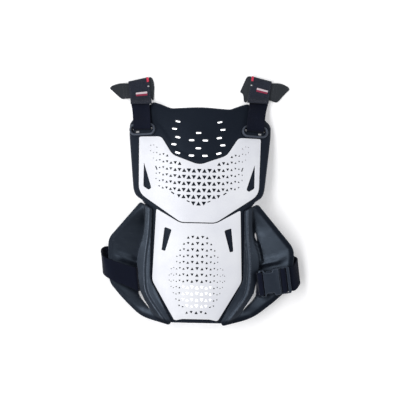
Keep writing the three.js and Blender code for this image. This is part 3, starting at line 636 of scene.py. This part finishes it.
def stitches(bm, line, pitch=3.4, length=2.4, radius=0.32):
    """A row of arched stitches along a line of points, on the upper side of the cloth."""
    runs = [0]
    for start, end in zip(line, line[1:]):
        runs.append(runs[-1] + (end - start).length)
    count = max(1, round(runs[-1] / pitch))
    for n in range(count):
        centre = (n + 0.5) * runs[-1] / count
        i = max(k for k in range(len(line) - 1) if runs[k] <= centre)
        along = (line[i + 1] - line[i]).normalized()
        middle = line[i] + along * (centre - runs[i])
        lift = (UP - along * UP.dot(along)).normalized()
        across = along.cross(lift)
        frames, sections = [], []
        for share, size in ((-1, 0.35), (-0.7, 0.9), (0, 1), (0.7, 0.9), (1, 0.35)):
            arch = radius * (0.9 - 1.5 * share**2)
            frames.append((middle + along * (share * length / 2) + lift * arch, across, lift))
            ring = [tau * k / 6 for k in range(6)]
            sections.append([(radius * size * cos(a), radius * size * sin(a)) for a in ring])
        sweep(bm, frames, sections)


# Materials
def tint(red, green, blue):
    """Scene colour of a screen colour that is given as 0 to 255."""
    shares = [value / 255 for value in (red, green, blue)]
    return (*[s / 12.92 if s <= 0.04045 else ((s + 0.055) / 1.055) ** 2.4 for s in shares], 1)


class Look:
    def __init__(self, name, **shader):
        self.material = bpy.data.materials.new(name)
        self.material.use_nodes = True
        self.tree = self.material.node_tree
        self.shader = self.tree.nodes["Principled BSDF"]
        for socket, value in shader.items():
            self.shader.inputs[socket.replace("_", " ").title().replace("Ior", "IOR")].default_value = value

    def node(self, kind, inputs, **settings):
        """Node whose inputs, by name or number, are each set to a value or linked from another node."""
        made = self.tree.nodes.new("ShaderNode" + kind)
        for key, value in settings.items():
            setattr(made, key, value)
        for socket, value in inputs.items():
            if isinstance(value, (int, float, tuple)):
                made.inputs[socket].default_value = value
            else:
                self.tree.links.new(value, made.inputs[socket])
        return made.outputs

    def to(self, source, socket):
        self.tree.links.new(source, self.shader.inputs[socket])

    def place(self):
        return self.node("TexCoord", {})["Object"]

    def attribute(self, name):
        return self.node("Attribute", {}, attribute_name=name)["Fac"]

    def noise(self, scale, detail=2, roughness=0.5, vector=None):
        inputs = {"Scale": scale, "Detail": detail, "Roughness": roughness, "Vector": vector or self.place()}
        return self.node("TexNoise", inputs)["Fac"]

    def stretched(self, scale, turn):
        inputs = {"Vector": self.place(), "Scale": scale, "Rotation": (0, 0, turn)}
        return self.node("Mapping", inputs)["Vector"]

    def remap(self, source, low, high, start, end):
        names = ("Value", "From Min", "From Max", "To Min", "To Max")
        return self.node("MapRange", dict(zip(names, (source, low, high, start, end))))["Result"]

    def math(self, operation, *terms):
        return self.node("Math", dict(enumerate(terms)), operation=operation)["Value"]

    def blend(self, share, start, end):
        return self.node("Mix", {0: share, 6: start, 7: end}, data_type="RGBA")[2]

    def weave(self, across, along):
        """Place along the weave, and the height of yarns that cross at these pitches in millimetres."""
        places = self.node("SeparateXYZ", {"Vector": self.node("UVMap", {}, uv_map="weave")["UV"]})
        waves = [
            self.math("SINE", self.math("MULTIPLY", places[axis], tau / (pitch * MM)))
            for axis, pitch in (("X", across), ("Y", along))
        ]
        return places["Y"], self.remap(self.math("MULTIPLY", *waves), -1, 1, 0, 1)

    def relief(self, *layers):
        """Bump from layers of (height, depth in millimetres)."""
        under = {}
        for height, depth in layers:
            inputs = {"Height": height, "Strength": 1, "Distance": depth * MM, **under}
            under = {"Normal": self.node("Bump", inputs)["Normal"]}
        self.to(under["Normal"], "Normal")


def plastic(name, base, shade, paler, rough, grain, depth, wear_and_highlight=0.3, leathery=False, gloss=None, **shader):
    """Moulded plastic: uneven tone, grain, scuffs, rubbed edges, painted highlight lines; gloss is of satin
    and of matte places.
    """
    look = Look(name, **shader)
    patches = look.noise(16, 3)
    tone = look.blend(look.remap(patches, 0.35, 0.65, 0, 1), base, shade)
    streaks = look.noise(1, 4, 0.65, look.stretched((60, 900, 200), 0.5))
    scuffs = look.remap(streaks, 0.64, 0.72, 0, 0.22)
    chips = look.remap(look.noise(320, 3), 0.4, 0.62, 0.25, 1)
    # Edge mask: real wear on the rounded rims, and on the wings painted highlight lines along the ridge; both
    # blend to the paler colour.
    edge_wear_and_highlight = look.math("MULTIPLY", look.math("MULTIPLY", look.attribute("edge"), chips), wear_and_highlight)
    tone = look.blend(look.math("MAXIMUM", scuffs, edge_wear_and_highlight), tone, paler)
    look.to(tone, "Base Color")
    uneven = look.remap(look.noise(90, 4), 0.3, 0.7, rough - 0.05, rough + 0.07)
    look.to(look.math("ADD", uneven, look.math("MULTIPLY", scuffs, 0.5)), "Roughness")
    if gloss:
        look.to(look.remap(look.attribute("matte"), 0, 1, *gloss), "Specular IOR Level")
    if leathery:
        cells = {"Vector": look.place(), "Scale": 1000 / grain}
        height = look.node("TexVoronoi", cells, feature="SMOOTH_F1")["Distance"]
    else:
        height = look.noise(1000 / grain, 3, 0.55)
    look.relief((height, depth), (look.noise(45, 2), depth * 1.5))
    return look.material


def webbing(name, dark, light, across, along, depth, fuzz=0.2, **shader):
    """Woven strap: picks across and along, with painted shade darker between the yarns, a little fuzzy."""
    look = Look(name, **shader)
    _, ribs = look.weave(across, along)
    lint = look.remap(look.noise(700, 4, 0.7), 0.45, 0.75, 0, fuzz)
    # Paler patches of wear, at random.
    paler = look.remap(look.noise(28, 3), 0.4, 0.7, 0, 0.35)
    # Painted shade: the tone darkens where the yarns lie low, between them.
    tone = look.blend(look.math("MULTIPLY", look.math("ADD", ribs, paler), 0.7), dark, light)
    look.to(look.blend(lint, tone, light), "Base Color")
    look.to(look.remap(ribs, 0, 1, 0.92, 0.78), "Roughness")
    look.relief((ribs, depth), (look.noise(1500, 2), depth * 0.35))
    return look.material


def knit(name, dark, light, grain, depth, **shader):
    """Brushed sleeve cloth: small loops under a soft nap."""
    look = Look(name, **shader)
    loops = look.node("TexVoronoi", {"Vector": look.stretched((1, 0.55, 1), 0), "Scale": 1000 / grain})
    nap = look.noise(420, 5, 0.7)
    tone = look.blend(look.remap(nap, 0.3, 0.7, 0, 1), dark, light)
    tone = look.blend(look.remap(look.noise(26, 2), 0.4, 0.7, 0, 0.3), tone, light)
    look.to(tone, "Base Color")
    look.to(look.remap(nap, 0.3, 0.7, 0.95, 0.82), "Roughness")
    look.relief((loops["Distance"], depth), (nap, depth * 0.8))
    return look.material


def striped_label(name, pale, red, between, across, along, depth, **shader):
    """Woven label of two plain stripes, told apart by where they lie along the weave."""
    look = Look(name, **shader)
    run, ribs = look.weave(across, along)
    tone = look.blend(look.remap(run, -0.2 * MM, 0.2 * MM, 0, 1), red, pale)
    # Painted shade: the between colour darkens the low places between the ribs.
    look.to(look.blend(look.remap(ribs, 0, 1, 0.35, 0), tone, between), "Base Color")
    look.relief((ribs, depth))
    return look.material


WHITE = (1, 1, 1, 1)
COOL = (0.62, 0.78, 1, 1)
LOOKS = {
    "white_plastic": plastic(
        "white_satin_plastic", tint(223, 225, 231), tint(216, 218, 226), tint(250, 250, 252),
        rough=0.36, grain=1.4, depth=0.012, wear_and_highlight=0.4,
    ),
    "black_chassis": plastic(
        "black_grained_plastic", tint(12, 17, 27), tint(16, 21, 31), tint(64, 70, 82),
        rough=0.52, grain=1.3, depth=0.08, leathery=True, specular_ior_level=0.22, specular_tint=COOL,
    ),
    # Its paler colour serves scuffs, rim wear and the painted highlight lines along the ridge.
    "black_wing": plastic(
        "black_satin_plastic", tint(11, 15, 23), tint(15, 19, 28), tint(104, 110, 122),
        rough=0.4, grain=0.9, depth=0.02, wear_and_highlight=0.5, gloss=(0.62, 0.16), specular_tint=COOL,
    ),
    "black_keeper": plastic(
        "black_rim_plastic", tint(58, 62, 72), tint(64, 68, 78), tint(110, 114, 124),
        rough=0.4, grain=0.8, depth=0.015, specular_tint=COOL,
    ),
    "black_buckle": plastic(
        "black_buckle_plastic", tint(26, 31, 41), tint(31, 36, 46), tint(90, 96, 108),
        rough=0.36, grain=0.7, depth=0.012, specular_tint=COOL,
    ),
    "black_webbing": webbing(
        "black_webbing", tint(4, 8, 19), tint(15, 21, 41), 1.5, 2.2, 0.22,
        sheen_weight=0.04, specular_ior_level=0.12,
    ),
    "cuff_fabric": knit(
        "black_brushed_cloth", tint(24, 27, 37), tint(42, 46, 58), 1.1, 0.2,
        sheen_weight=0.12, specular_ior_level=0.15,
    ),
    "red_ribbon": webbing(
        "red_ribbon", tint(158, 24, 52), tint(232, 64, 96), 30, 0.9, 0.15, fuzz=0.1, sheen_weight=0.2,
    ),
    "label_weave": striped_label(
        "striped_label", tint(216, 202, 210), tint(142, 26, 64), tint(70, 20, 28), 0.5, 0.7, 0.12,
        roughness=0.8, sheen_weight=0.2,
    ),
}
TAB_WEBBING = webbing(
    "black_tab_webbing", tint(30, 33, 38), tint(58, 62, 67), 1.5, 2.2, 0.22,
    sheen_weight=0.08, specular_ior_level=0.15,
)
TWIST = {"across": 0.5, "along": 0.8, "depth": 0.1, "sheen_weight": 0.3}
THREAD = webbing("black_thread", tint(26, 29, 37), tint(64, 68, 80), **TWIST)
PALE_THREAD = webbing("pale_thread", tint(180, 180, 184), tint(236, 236, 238), **TWIST)


def placed(name, data):
    made = bpy.data.objects.new(name, data)
    bpy.context.scene.collection.objects.link(made)
    return made


def meshed(name, bm, material):
    mesh = bpy.data.meshes.new(name)
    bm.to_mesh(mesh)
    bm.free()
    mesh.materials.append(material)
    return placed(name, mesh)


def piece(node, kind, bm, slot, look=None, added=False):
    """Piece named for its node and its kind. It takes the node's place, or is added to it."""
    bmesh.ops.recalc_face_normals(bm, faces=bm.faces)
    for face in bm.faces:
        face.smooth = True
    made = meshed(f"{node}_{kind}", bm, look or LOOKS[slot])
    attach(made, BODY)
    if not added:
        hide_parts(node)
    return made


# Chassis
def chassis():
    outline = whole(CHASSIS_EDGE)
    field = whole(BIB_FIELD)
    to_rim = distance_to(outline)
    to_field = distance_to(field)

    def relief(here):
        fall = RIM_FALL * (1 - smoothstep(0, RIM_WIDTH, to_rim(here)))
        sunk = BIB_SINK * smoothstep(0, BIB_STEP, to_field(here)) if encloses(field, here) else 0
        return -max(fall, sunk)

    slots = []
    for x, y, turn in BIB_SLOTS:
        for side in (1, -1) if x else (1,):
            at = BIB_SLOT.shift + side * x
            slots.append(stadium(at, y, BIB_SLOT.length, BIB_SLOT.width, side * turn))
    for side in HANDS.values():
        for x, y, length, width in (STRAP_SLOT, PEEP_SLOT):
            slots.append(stadium(HARDWARE_SHIFT + side * x, y, length, width, side * KEEPER.turn))
    holes = [(slot, ROUND["slot"]) for slot in slots]
    holes.append((rectangle(*WINDOW), ROUND["window"]))
    lines = offset(field, -0.2) + offset(field, -BIB_STEP)
    extra = [p for p in lines if encloses(outline, p) and to_rim(p) > RIM_ROOM.chassis]
    for loop, _ in holes:
        around = offset(loop, HOLE_ROOM)
        extra = [p for p in extra if not encloses(around, p)]
    bm = bmesh.new()
    shell(bm, (outline, ROUND["chassis"]), holes, -CHASSIS_WALL, 0, PLATE_CELL, relief, extra=extra)
    piece("chassis", "moulding", bm, "black_chassis")


# Plates
EDGE_ROLL = 0.7
EDGE_ROLL_WIDTH = 9


def plate(name, edge, vent, holes):
    outline = whole(edge)
    to_rim = distance_to(outline)

    def crown(here):
        return -EDGE_ROLL * (1 - smoothstep(0, EDGE_ROLL_WIDTH, to_rim(here)))

    vents = [(rounded(side), ROUND["vent"]) for side in (vent, flipped(vent))]
    bm = bmesh.new()
    shell(bm, (outline, ROUND["plate"]), vents + holes, GAP, GAP + PLATE_WALL, PLATE_CELL, crown=crown)
    piece(name, "moulding", bm, "white_plastic")


def slits(rows):
    for x, y, length, width, turn in rows:
        for side in (1, -1):
            yield stadium(side * x, y, length, width, side * turn, steps=3), ROUND["slot"]


# Wings
RIDGE_SMOOTH = spline([(y, 0, 0, *rest) for y, *rest in RIDGE], 3)


def to_wing_edge(hand):
    """Distance from the open line of the wing's outer corners, walked there and back."""
    there = [Vector(corner[:2]) for corner in [WING_TOP[1], WING_SHOULDER[hand]] + WING_OUTER]
    return distance_to(there + there[-2:0:-1])


TO_WING_EDGE = {hand: to_wing_edge(hand) for hand in HANDS}


def ridge_at(y):
    return row_at(RIDGE_SMOOTH, y)[3:]


def wing_relief(here, hand):
    x, y = here
    crest, foot, fall = ridge_at(y)
    to_edge = TO_WING_EDGE[hand](here)
    height = RIDGE_HEIGHT * smoothstep(0, RIDGE_FADE, to_edge)
    if x < crest:
        step = crest - INNER_STEP.width
        stepped = height * mix(INNER_STEP.share, 1, smoothstep(step, crest, x))
        return max(0, stepped - INNER_STEP.slope * max(0, step - x))
    inner = max(0, to_edge - SCOOP_BORDER)
    share = inner / (inner + max(x - foot, 0.01))
    room = smoothstep(SCOOP_BORDER, SCOOP_BORDER + SCOOP_FADE, TO_WING_EDGE[hand]((foot, y)))
    lip_y = LIP.y + LIP.rise * (x - foot)
    lip = LIP.height * max(0, 1 - abs(y - lip_y) / LIP.width) * smoothstep(0, LIP.fade, inner)
    floor = room * (lip - SCOOP_DEPTH * share)
    flank = height * (1 - fall * (x - crest) / (foot - crest))
    wall = smoothstep(foot - FOOT_WALL.inner, foot + FOOT_WALL.outer, x)
    reach = smoothstep(0, SLIT_GROOVE.fade, min(y - SLIT_GROOVE.start, SLIT_GROOVE.end - y))
    depth = SLIT_GROOVE.depth * (hand == SLIT_GROOVE.hand)
    groove = depth * reach * bump(x - foot - SLIT_GROOVE.out, SLIT_GROOVE.width)
    return mix(flank, floor, wall) - groove


# Painted highlight: pale lines along the ridge's crest and along the band inside it, fading in away from the
# wing's edge.
def wing_painted_highlight(here, hand):
    crest = ridge_at(here.y)[0]
    fade = smoothstep(*PAINTED_HIGHLIGHT_FADE, TO_WING_EDGE[hand](here))
    on_crest = bump(here.x - crest, LINE_WIDTH.crest)
    return fade * max(on_crest, bump(here.x - crest + BAND_LINE, LINE_WIDTH.band))


def wing(hand):
    outline = rounded(WING_TOP + [WING_SHOULDER[hand]] + WING_OUTER + WING_INNER)
    crest_lines = [-BAND_LINE - LINE_WIDTH.band, -BAND_LINE, LINE_WIDTH.band - BAND_LINE]
    crest_lines += [-INNER_STEP.width, -INNER_STEP.width / 2, 0]
    holes = []
    for rows in WING_SLITS[hand]:
        left = [Vector((ridge_at(y)[1] - inner, y)) for y, inner, _ in rows]
        right = [Vector((ridge_at(y)[1] + outer, y)) for y, _, outer in rows]
        holes.append((turned_left(refined(left + right[::-1], 3)), ROUND["wing_slit"]))
    inset = offset(outline, -RIM_ROOM.wing)
    around = [offset(loop, HOLE_ROOM) for loop, _ in holes]
    extra = []
    for y in range(*RIDGE_RANGE):
        crest, foot, _ = ridge_at(y)
        for x in [crest + line for line in crest_lines] + [foot + line for line in FOOT_LINES]:
            here = Vector((x, y))
            if encloses(inset, here) and not any(encloses(loop, here) for loop in around):
                extra.append(here)
    bm = bmesh.new()
    shell(
        bm, (outline, ROUND["wing"]), holes, GAP, GAP + WING_WALL, WING_CELL,
        relief=lambda here: wing_relief(here, hand), place=on_wing(hand), extra=extra,
        # Painted highlight lines along the ridge, and light rim wear on the rounded edges.
        paler=lambda here: wing_painted_highlight(here, hand), rim_wear=0.3,
        matte=lambda here: 1 - smoothstep(*MATTE_FADE, TO_WING_EDGE[hand](here)),
    )
    piece(f"wing_{hand}", "moulding", bm, "black_wing")


# Shoulder straps and their keepers
def keeper(hand):
    side = HANDS[hand]
    wall = KEEPER.wall
    x = KEEPER.x + side * HARDWARE_SHIFT
    line = stadium(x, KEEPER.y, KEEPER.length - wall, KEEPER.width - wall, KEEPER.turn, steps=14)
    section = [(wall / 2 * out, KEEPER.height * up) for out, up in KEEPER_ROUND]
    section = [(-wall / 2, GAP)] + section + [(wall / 2, GAP)]
    frames = []
    for i, here in enumerate(line):
        run = (line[(i + 1) % len(line)] - line[i - 1]).normalized()
        origin = on_front(here.x, here.y, 0)
        away = on_front(here.x + run.y, here.y - run.x, 0) - origin
        up = on_front(here.x, here.y, 1) - origin
        mirror = Vector((side, 1, 1))
        frames.append((origin * mirror, away.normalized() * mirror, up * mirror))
    bm = bmesh.new()
    sweep(bm, frames, [section] * len(frames), closed=True)
    piece(f"keeper_{hand}", "rim", bm, "black_keeper")


def shoulder_strap(hand):
    side = HANDS[hand]
    rows = []
    for x, y, lift, bank, on_chassis in SHOULDER_PATH:
        x += side * HARDWARE_SHIFT
        middle = on_front(x, y, lift) if on_chassis else Vector((x, y, lift))
        tilt = radians(bank)
        across = Vector((side * cos(tilt), SHOULDER_SKEW, -sin(tilt)))
        middle.x *= side
        rows.append(even(middle, across, SHOULDER_WIDTH))
    bm = bmesh.new()
    length, _ = ribbon(bm, rows, WEB_WALL)
    made = piece(f"shoulder_strap_{hand}", "webbing", bm, "black_webbing")


# Cuffs: each piece is made in the cuff's own frame and then settled in its place
def seat(x, y, turn):
    return Matrix.Translation((x, y, 0)) @ Matrix.Rotation(radians(turn), 4, "Z")


def settle(bm, hand, taper=CUFF_TAPER):
    place = seat(*CUFF_PLACE[hand])
    for vert in bm.verts:
        out, up, z = vert.co / MM
        vert.co = place @ Vector((HANDS[hand] * out, up * (1 - taper * out), z)) * MM


def cuff_path():
    inset = CUFF.wall / 2
    radius = CUFF.height / 2 - inset
    fold = CUFF.length / 2 - inset - radius
    path = list(CUFF_FRONT)
    for step in range(CUFF_FOLD_STEPS + 1):
        angle = pi * step / CUFF_FOLD_STEPS
        path.append((fold + radius * sin(angle), inset + radius + radius * cos(angle)))
    return path + [(0, inset), (-CUFF.length / 2, inset)]


def cuff(hand):
    rows = [even(Vector((0, up, z)), RIGHT, CUFF.width) for up, z in cuff_path()]
    bm = bmesh.new()
    length, _ = ribbon(bm, rows, CUFF.wall, pinches=CUFF_SEAMS)
    settle(bm, hand)
    sleeve = piece(f"cuff_{hand}", "sleeve", bm, "cuff_fabric")
    rest = [sleeve_stitching(hand), pull_tab(hand), bar_tack(hand), label(hand)]


SLEEVE_FOLD = (CUFF.length / 2 - CUFF.height / 2, CUFF.height - CUFF.wall / 2)
SLEEVE_FRONT = spline([(up, z, 0) for up, z in CUFF_FRONT + [SLEEVE_FOLD]], 1)


def on_sleeve(out, up):
    return Vector((out, up, row_at(SLEEVE_FRONT, up)[1] + CUFF.wall / 2))


def sleeve_stitching(hand):
    bm = bmesh.new()
    side = CUFF.width / 2 - CUFF_STITCHES.inset
    for up in CUFF_STITCHES.rows:
        stitches(bm, [on_sleeve(out, up) for out in (-side, 0, side)])
    for out in (-side, side):
        stitches(bm, [on_sleeve(out, up) for up in range(*CUFF_STITCHES.side)])
    settle(bm, hand)
    return piece(f"cuff_{hand}", "stitching", bm, "cuff_fabric", THREAD, added=True)


def pull_tab(hand):
    middle = Vector((PULL_TAB.out, PULL_TAB.up, CUFF.height + GAP + PULL_TAB.wall / 2))
    rows = [even(middle + Vector((0, up, z)), RIGHT, PULL_TAB.width) for up, z in PULL_FOLD]
    bm = bmesh.new()
    ribbon(bm, rows, PULL_TAB.wall, step=PULL_TAB.step)
    settle(bm, hand)
    return piece(f"pull_tab_{hand}", "ribbon", bm, "red_ribbon")


def bar_tack(hand):
    bm = bmesh.new()
    for row in range(TACK.rows):
        up = TACK.up - row * TACK.drop
        line = [on_sleeve(PULL_TAB.out + way * TACK.width / 2, up) for way in (-1, 1)]
        stitches(bm, line, pitch=TACK.width, length=TACK.stitch, radius=TACK.radius)
    settle(bm, hand)
    return piece(f"pull_tab_{hand}", "tack", bm, "red_ribbon", PALE_THREAD, added=True)


def label(hand):
    half_width, half_length = LABEL.width / 2, LABEL.length / 2
    loop = rectangle(-half_width, half_width, -half_length, half_length, LABEL.corner)
    base = CUFF.height + GAP
    place = seat(*LABEL_PLACE[hand])

    def crown(here):
        shares = (abs(here.x) / half_width, abs(here.y) / half_length)
        return -LABEL.curl * sum(smoothstep(0.7, 1, share) for share in shares)

    bm = bmesh.new()
    shell(
        bm, (loop, ROUND["label"]), [], base, base + LABEL.wall, LABEL.cell,
        crown=crown, place=lambda *point: Vector(point),
    )
    weave = bm.loops.layers.uv.new("weave")
    for face in bm.faces:
        for corner in face.loops:
            corner[weave].uv = corner.vert.co.xy
    for vert in bm.verts:
        vert.co = place @ (vert.co / MM) * MM
    settle(bm, hand)
    return piece(f"label_{hand}", "patch", bm, "label_weave")


def tab_strap(hand):
    path = TAB_PATH[hand]
    across = Vector((0, 1, 0))
    rows = [(Vector((out, TAB_RISE * out, z)), across, low, high) for out, low, high, z in path]
    bm = bmesh.new()
    seams = [(out - path[0][0], TAB_SEAM.reach, TAB_SEAM.depth) for out, _ in TAB_SEAMS]
    length, area = ribbon(bm, rows, TAB_WALL, pinches=seams)
    settle(bm, hand, taper=0)
    strap = piece(f"tab_strap_{hand}", "webbing", bm, "black_webbing", TAB_WEBBING)
    bm = bmesh.new()
    for out, height in TAB_SEAMS:
        stitches(bm, [Vector((out, TAB_RISE * out + up, height)) for up in TAB_SEAM.run])
    settle(bm, hand, taper=0)
    sewing = piece(f"tab_strap_{hand}", "stitching", bm, "black_webbing", THREAD, added=True)
    widest = max(high - low for _, low, high, _ in path)


# Buckle and belt
def buckle_frame():
    turn = radians(BUCKLE.turn)
    x, y, lift = BUCKLE.x, BUCKLE.y, BUCKLE.lift
    wing_point = on_wing("right")
    origin = wing_point(x, y, lift)

    def towards(angle, reach=10):
        return wing_point(x + reach * cos(angle), y + reach * sin(angle), lift) - origin

    out = towards(turn).normalized()
    face = out.cross(towards(turn + pi / 2)).normalized()
    basis = Matrix((out, face.cross(out), face)).transposed().to_4x4()
    return Matrix.Translation(origin) @ basis


IN_BUCKLE = buckle_frame()


def in_buckle(out, up, height):
    return IN_BUCKLE @ Vector((out, up, height))


def laced(lacing, width):
    rows = []
    for out, height, twist in lacing:
        turn = radians(twist)
        across = IN_BUCKLE.to_3x3() @ Vector((sin(turn), cos(turn), 0))
        rows.append(even(in_buckle(out, 0, height), across, width))
    return rows


def slab(bm, loop, holes, low, high, edge, crown=None):
    holes = [(hole, ROUND["lacing"]) for hole in holes]
    shell(bm, (loop, ROUND[edge]), holes, low, high, BUCKLE_CELL, crown=crown, place=in_buckle)


def socket():
    half = SOCKET.width / 2
    first = THUMB_NOTCH.out - THUMB_NOTCH.length / 2
    last = THUMB_NOTCH.out + THUMB_NOTCH.length / 2
    deep = half - THUMB_NOTCH.depth
    bite = THUMB_NOTCH.round
    side = [
        (SOCKET.outer, half, 3), (last + 1, half, 2), (last - 1, deep, bite), (first + 1, deep, bite),
        (first - 1, half, 2), (SOCKET.inner, half, SOCKET.round),
    ]
    outline = rounded(side + [(x, -y, setback) for x, y, setback in reversed(side)])
    slot = rectangle(*SOCKET_SLOT)
    top = SOCKET.height / 2
    inner = top - SOCKET.skin
    core = inner + SOCKET_LAP

    def crown(here):
        dip = SOCKET_CROWN.dip * smoothstep(SOCKET_CROWN.dip_from, SOCKET.outer, here.x)
        return SOCKET_CROWN.rise * (1 - (here.y / half) ** 2) - dip

    bm = bmesh.new()
    slab(bm, outline, [slot], inner, top, "socket", crown)
    slab(bm, outline, [slot], -top, -inner, "socket_back")
    slab(bm, rectangle(*SOCKET_BLOCK), [slot], -core, core, "core")
    for rail in SOCKET_RAILS:
        slab(bm, rectangle(*rail), [], -core, core, "core")
    piece("buckle_socket", "body", bm, "black_buckle")


def plug():
    slots = [rectangle(*slot) for slot in PLUG_SLOTS]
    half = PRONG.wall / 2
    bm = bmesh.new()
    slab(bm, rectangle(*PLUG_BODY), slots, -PLUG_WALL / 2, PLUG_WALL / 2, "plug")
    for bar in PLUG_BARS:
        slab(bm, rectangle(*bar), [], -half, half, "prong")
    for way in (1, -1):
        pad = stadium(THUMB_NOTCH.out, way * PRONG.pad, PRONG.length, PRONG.width)
        slab(bm, pad, [], -half, half, "pad")
    piece("buckle_plug", "body", bm, "black_buckle")


def waist_belt():
    place = on_wing("left")
    rows = []
    for x, y, lift, lean in BELT_ON_WING:
        turn = radians(lean)
        step = Vector((sin(turn), cos(turn))) * 5
        across = place(x + step.x, y + step.y, lift) - place(x - step.x, y - step.y, lift)
        rows.append(even(place(x, y, lift), across, BELT_WIDTH))
    for x, y, z, lean, tip in BELT_BEHIND:
        turn = radians(lean)
        across = Vector((-sin(turn), cos(turn), sin(radians(tip))))
        rows.append(even(Vector((x, y, z)), across, BELT_WIDTH))
    bm = bmesh.new()
    length, _ = ribbon(bm, rows + laced(BELT_LACING, BELT_WIDTH), WEB_WALL)
    made = piece("waist_belt", "webbing", bm, "black_webbing")


def buckle_anchor():
    bm = bmesh.new()
    length, _ = ribbon(bm, laced(ANCHOR_LACING, ANCHOR_WIDTH), WEB_WALL)
    made = piece("buckle_anchor", "webbing", bm, "black_webbing")


# Floor, light and camera
def floor():
    bm = bmesh.new()
    bmesh.ops.create_grid(bm, x_segments=8, y_segments=8, size=FLOOR.half_side)
    look = Look(
        "pale_floor", base_color=tint(248, 248, 250), roughness=0.9, emission_color=WHITE,
        emission_strength=FLOOR.glow,
    )
    made = meshed("floor", bm, look.material)
    made.location = (0, 0, -FLOOR.sink)
    made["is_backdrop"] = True


def studio():
    for name, place, target, size, power in LAMPS:
        data = bpy.data.lights.new(name, "AREA")
        data.shape = "RECTANGLE"
        data.size, data.size_y = size
        data.energy = power
        lamp = placed(name, data)
        lamp.location = place
        lamp.rotation_euler = (Vector(target) - Vector(place)).to_track_quat("-Z", "Y").to_euler()
    world = bpy.data.worlds.new("studio")
    world.use_nodes = True
    glow = world.node_tree.nodes["Background"].inputs
    glow["Color"].default_value = WHITE
    glow["Strength"].default_value = WORLD_GLOW
    bpy.context.scene.world = world
    bpy.context.scene.view_settings.view_transform = "Standard"


def camera():
    data = bpy.data.cameras.new("camera")
    data.sensor_width = SENSOR_SIDE
    data.lens = SENSOR_SIDE * CAMERA_DISTANCE / PHOTO_SIDE
    data.clip_end = 50
    made = placed("camera", data)
    made.location = (Vector(PHOTO_MIDDLE) + UP * CAMERA_DISTANCE) * MM
    made.rotation_euler = (0, 0, radians(PHOTO_ROLL))
    bpy.context.scene.camera = made


camera()
chassis()
plate("chest_plate", CHEST_EDGE, CHEST_VENT, hole_field(CHEST_HOLES, CHEST_ROWS) + list(slits(CHEST_SLITS)))
plate("abdomen_plate", ABDOMEN_EDGE, ABDOMEN_VENT, hole_field(ABDOMEN_HOLES, ABDOMEN_ROWS))
for hand in HANDS:
    wing(hand)
    keeper(hand)
    shoulder_strap(hand)
    cuff(hand)
    tab_strap(hand)
socket()
plug()
waist_belt()
buckle_anchor()
floor()
studio()

boxes = {"cad": cad_box, "visual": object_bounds()}
{name: [list(corner) for corner in box] for name, box in boxes.items()}
